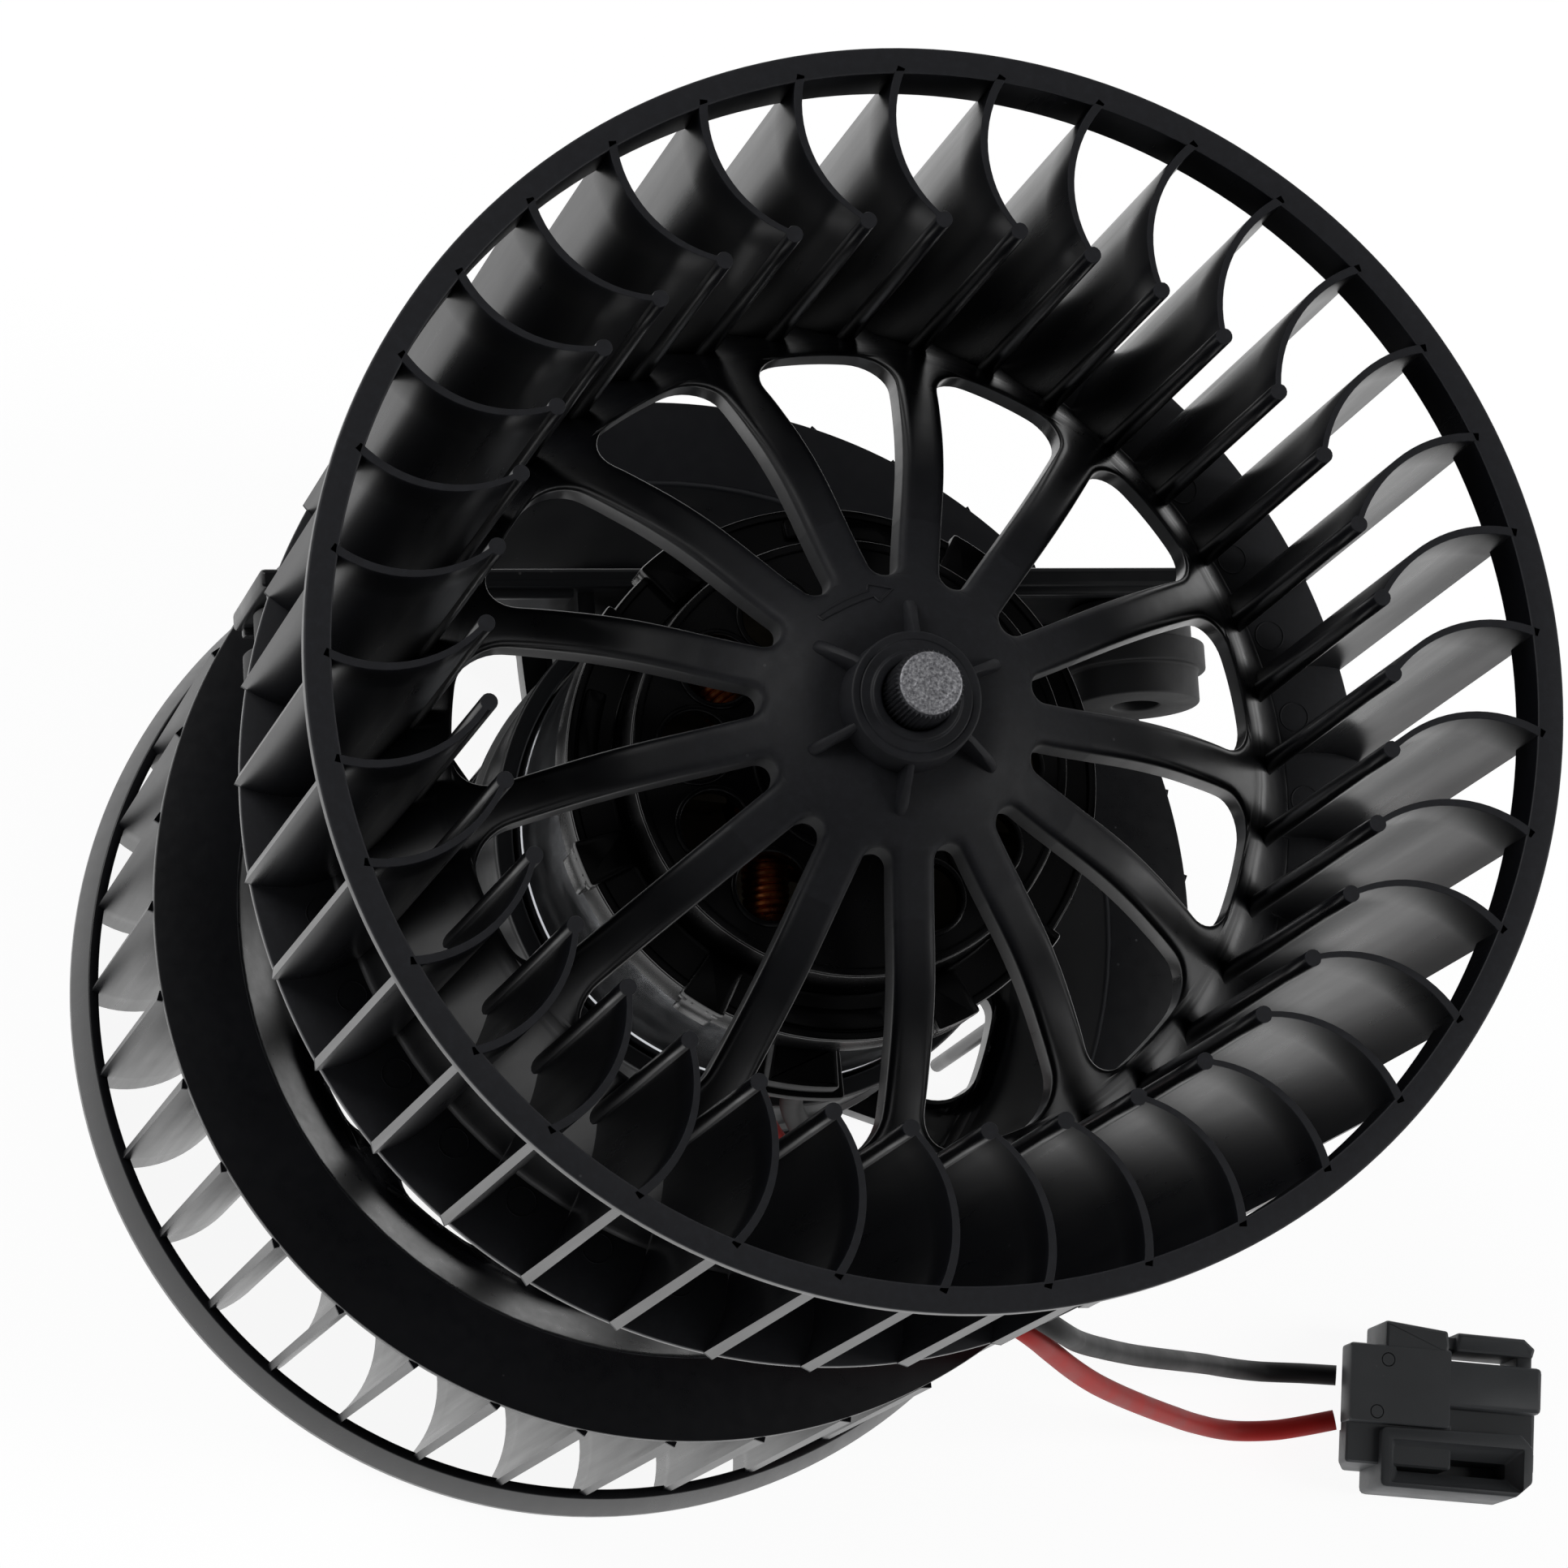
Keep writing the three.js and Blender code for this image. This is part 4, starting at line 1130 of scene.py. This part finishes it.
def rubber_mount(side):
    """Round rubber body with a groove and a collar, bored through."""
    v = MOUNT_V
    section = soften([
        (MOUNT_BORE_R, v), (8.6, v), (8.6, v + 4.3), (9.7, v + 4.3), (9.7, v + 7.8), (8.1, v + 7.8),
        (8.1, 33.0), (MOUNT_BORE_R, 33.0),
    ], 0.35)
    bush = Shape().lathe(section, 96)
    place = turn(BRACKET_TURN, "Z") @ shift(side * MOUNT_U, 0, MIDDLE) @ turn(-90, "X")
    return Shape().moved_copy(bush, place)


def add_carrier():
    body, holes = carrier()
    make("strap_carrier", body, "stator", "carrier_plastic", ["carrier"], holes)
    make("mount_right", rubber_mount(1), "stator", "rubber", ["rubber_mount_right"])
    make("mount_left", rubber_mount(-1), "stator", "rubber", ["rubber_mount_left"])


# ---- leads: grommet and plug ----
def add_grommet():
    """Rubber block in the can's wall with a tapered sleeve round each lead."""
    body = Shape().slab(soften(sector(YOKE_R + 0.3, 38.2, -90, 7, 10), 0.7), 143, 149.7, 0.6)
    body.slab(soften(sector(YOKE_R + 0.3, 39, -90, 9, 10), 0.7), 144.5, 146.5, 0.4)
    bore, top = WIRE_R + 0.06, WIRE_EXIT_Z + 1.2
    profile = [(bore, top), (1.95, top), (1.92, 139.5), (WIRE_R + 0.3, 136.6), (bore, 136.6)]
    sleeve = Shape().lathe(soften(profile, 0.15, 2), 32)
    for x in (-2, 2):
        body.moved_copy(sleeve, shift(x, -35.62, 0))
    make("lead_grommet", body, "stator", "rubber", ["wire_grommet"])


def plug_body():
    """Two-way plug: stepped body narrower at its foot, with two cavities and an entry for each lead."""
    body = Shape()
    body.stack([
        (118.5, -52.7, 130.9, -41.7, 0.5), (118.2, -53.0, 131.2, -41.4, 0.8),
        (115.6, -53.0, 131.2, -41.4, 7.9), (115.6, -53.0, 131.2, -41.4, 11.7),
        (115.8, -52.8, 131.0, -41.6, 12.0),
    ], 0.5)
    body.stack([
        (118.5, -58.6, 131.7, -52.2, 0.6), (118.2, -58.9, 132.0, -52.0, 0.9),
        (115.8, -58.9, 132.0, -52.0, 7.0), (115.8, -58.9, 132.0, -52.0, 10.1),
        (116.1, -58.6, 131.7, -52.2, 10.4),
    ], 0.5)
    body.block((130.0, -49.8, 0.4), (145.3, -42.9, 11.95), 0.6)
    body.block((130.0, -56.9, 0.4), (145.2, -49.0, 9.5), 0.5)
    body.block((143.4, -58.4, 0.4), (145.2, -55.0, 9.5), 0.4)
    cutters = Shape()
    entry = WIRE_R + 0.12
    for y in (RED_ROUTE[-1][1], BLACK_ROUTE[-1][1]):
        cutters.slab(rectangle(121, y - 2.5, 149, y + 2.5, 0.4, 2), 3.1, 8.9)
        cutters.slab([(110, y - entry), (122, y - entry), (122, y + entry), (110, y + entry)], 4.4, 7.6)
    return body, cutters


def plug_lever():
    """Lever along one flank: root on the body, necked arm with a hooked, bevelled end."""
    lever = Shape()
    root = soften([(120.9, -42.2), (130.6, -42.2), (130.9, -40.9), (130.6, -38.6), (120.9, -37.7)], 0.5)
    lever.slab(root, 2.4, 11.9, 0.5)
    lever.block((130.2, -41.2, 3.4), (132.6, -39.2, 10.6), 0.35)
    arm = [(131.9, -41.5), (143.9, -41.5), (144.3, -40.1), (142.6, -38.7), (132.2, -38.6)]
    lever.slab(soften(arm, 0.35, 2), 3.0, 11.5, 0.5)
    lever.block((141.6, -43.3, 3.0), (144.0, -40.6, 10.8), 0.3)
    return lever


def plug_latch():
    """Raised frame of the latch and the pocket in it, whose walls slope down to a deep slot."""
    outline = [(120.8, -62.3), (141.8, -62.3), (144.3, -60.0), (144.3, -55.0), (142.4, -53.0), (120.8, -53.4)]
    frame_ring = Shape().slab(soften(outline, 1.0), 1.4, 11.8, 0.3)
    pocket = Shape().stack([
        (124.0, -59.4, 140.8, -57.3, 3.4), (124.0, -59.5, 140.8, -57.2, 9.2),
        (123.0, -61.0, 142.2, -55.7, 10.6), (122.5, -61.5, 142.8, -55.2, 11.3),
        (122.3, -61.7, 143.0, -55.0, 12.6),
    ], 0.4)
    return carved(frame_ring, pocket)


def add_plug():
    body, cutters = plug_body()
    for extra in (plug_lever(), plug_latch()):
        body.add(extra.points, extra.faces)
    ring = Shape().lathe(ring_profile(0.85, 1.1, -0.3, 0.07, 0.06, 2), 36)
    for x, y in ((121.4, -43.6), (119.9, -51.4)):
        body.moved_copy(ring, shift(x, y, 11.93))
    return make("plug", body, "stator", "plug_plastic", ["plug_housing"], cutters)


def declare_leads(plug):
    leads = ((red_lead, RED_ROUTE, RED_LENGTH, "red"), (black_lead, BLACK_ROUTE, BLACK_LENGTH, "black"))
    for lead, route, length, colour in leads:
        lead.data.materials.append(MATERIALS[f"wire_{colour}"])
        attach(lead, "stator")
        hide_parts(f"{colour}_wire")


# ---- CAD nodes that stay ----
def dress_cad_nodes():
    """Gives each CAD node that stays the material of its slot in the record."""
    for row in frame["record"]["subparts"]:
        node = frame["nodes"][row["node"]]
        if node.hide_render:
            continue
        node.data.materials.clear()
        node.data.materials.append(MATERIALS[row["material_slot"]])
        for polygon in node.data.polygons:
            polygon.material_index = 0


# ---- stage ----
def add_floor():
    """Pale light table: it glows almost white and takes a faint shadow."""
    glow = {
        "Base Color": (0.2, 0.2, 0.2), "Roughness": 0.9, "Specular IOR Level": 0.0,
        "Emission Color": (1, 1, 1), "Emission Strength": 0.92,
    }
    mesh = bpy.data.meshes.new("floor")
    half = 4.0
    corners = [(-half, -half, 0), (half, -half, 0), (half, half, 0), (-half, half, 0)]
    mesh.from_pydata(corners, [], [(0, 1, 2, 3)])
    mesh.materials.append(Graph("floor").surface(glow, []))
    floor = place_object("floor", mesh)
    floor.location.z = -0.0004


def add_world():
    """Studio dome: bright round the horizon, darker overhead."""
    world = bpy.data.worlds.new("studio")
    world.use_nodes = True
    tree = world.node_tree
    tree.nodes.clear()
    out = tree.nodes.new("ShaderNodeOutputWorld")
    background = tree.nodes.new("ShaderNodeBackground")
    place = tree.nodes.new("ShaderNodeTexCoord")
    split = tree.nodes.new("ShaderNodeSeparateXYZ")
    ramp = tree.nodes.new("ShaderNodeValToRGB")
    stops = [(0.0, 1.0), (0.12, 1.0), (0.32, 0.42), (0.65, 0.1), (1.0, 0.06)]
    while len(ramp.color_ramp.elements) < len(stops):
        ramp.color_ramp.elements.new(0.5)
    for element, (at, value) in zip(ramp.color_ramp.elements, stops):
        element.position = at
        element.color = (value, value, value * 1.02, 1)
    tree.links.new(place.outputs["Generated"], split.inputs["Vector"])
    tree.links.new(split.outputs["Z"], ramp.inputs["Fac"])
    tree.links.new(ramp.outputs["Color"], background.inputs["Color"])
    tree.links.new(background.outputs["Background"], out.inputs["Surface"])
    background.inputs["Strength"].default_value = 1.0
    bpy.context.scene.world = world


def add_softbox(name, place, target, size, power):
    light = bpy.data.lights.new(name, "AREA")
    light.shape = "RECTANGLE"
    light.size, light.size_y = size
    light.energy = power
    holder = place_object(name, light)
    holder.location = place
    holder.rotation_euler = (Vector(target) - Vector(place)).to_track_quat("-Z", "Y").to_euler()


def add_lights():
    centre = (0, 0, MIDDLE * MM)
    add_softbox("softbox_left", (-0.9, 0.5, 0.9), centre, (0.5, 0.7), 4)
    add_softbox("softbox_right", (1.0, -0.1, 0.7), centre, (0.3, 0.9), 3)


add_wheels()
add_shaft()
add_motor()
add_carrier()
add_grommet()
declare_leads(add_plug())
dress_cad_nodes()
add_floor()
add_world()
add_lights()
bpy.context.scene.view_settings.view_transform = "Standard"
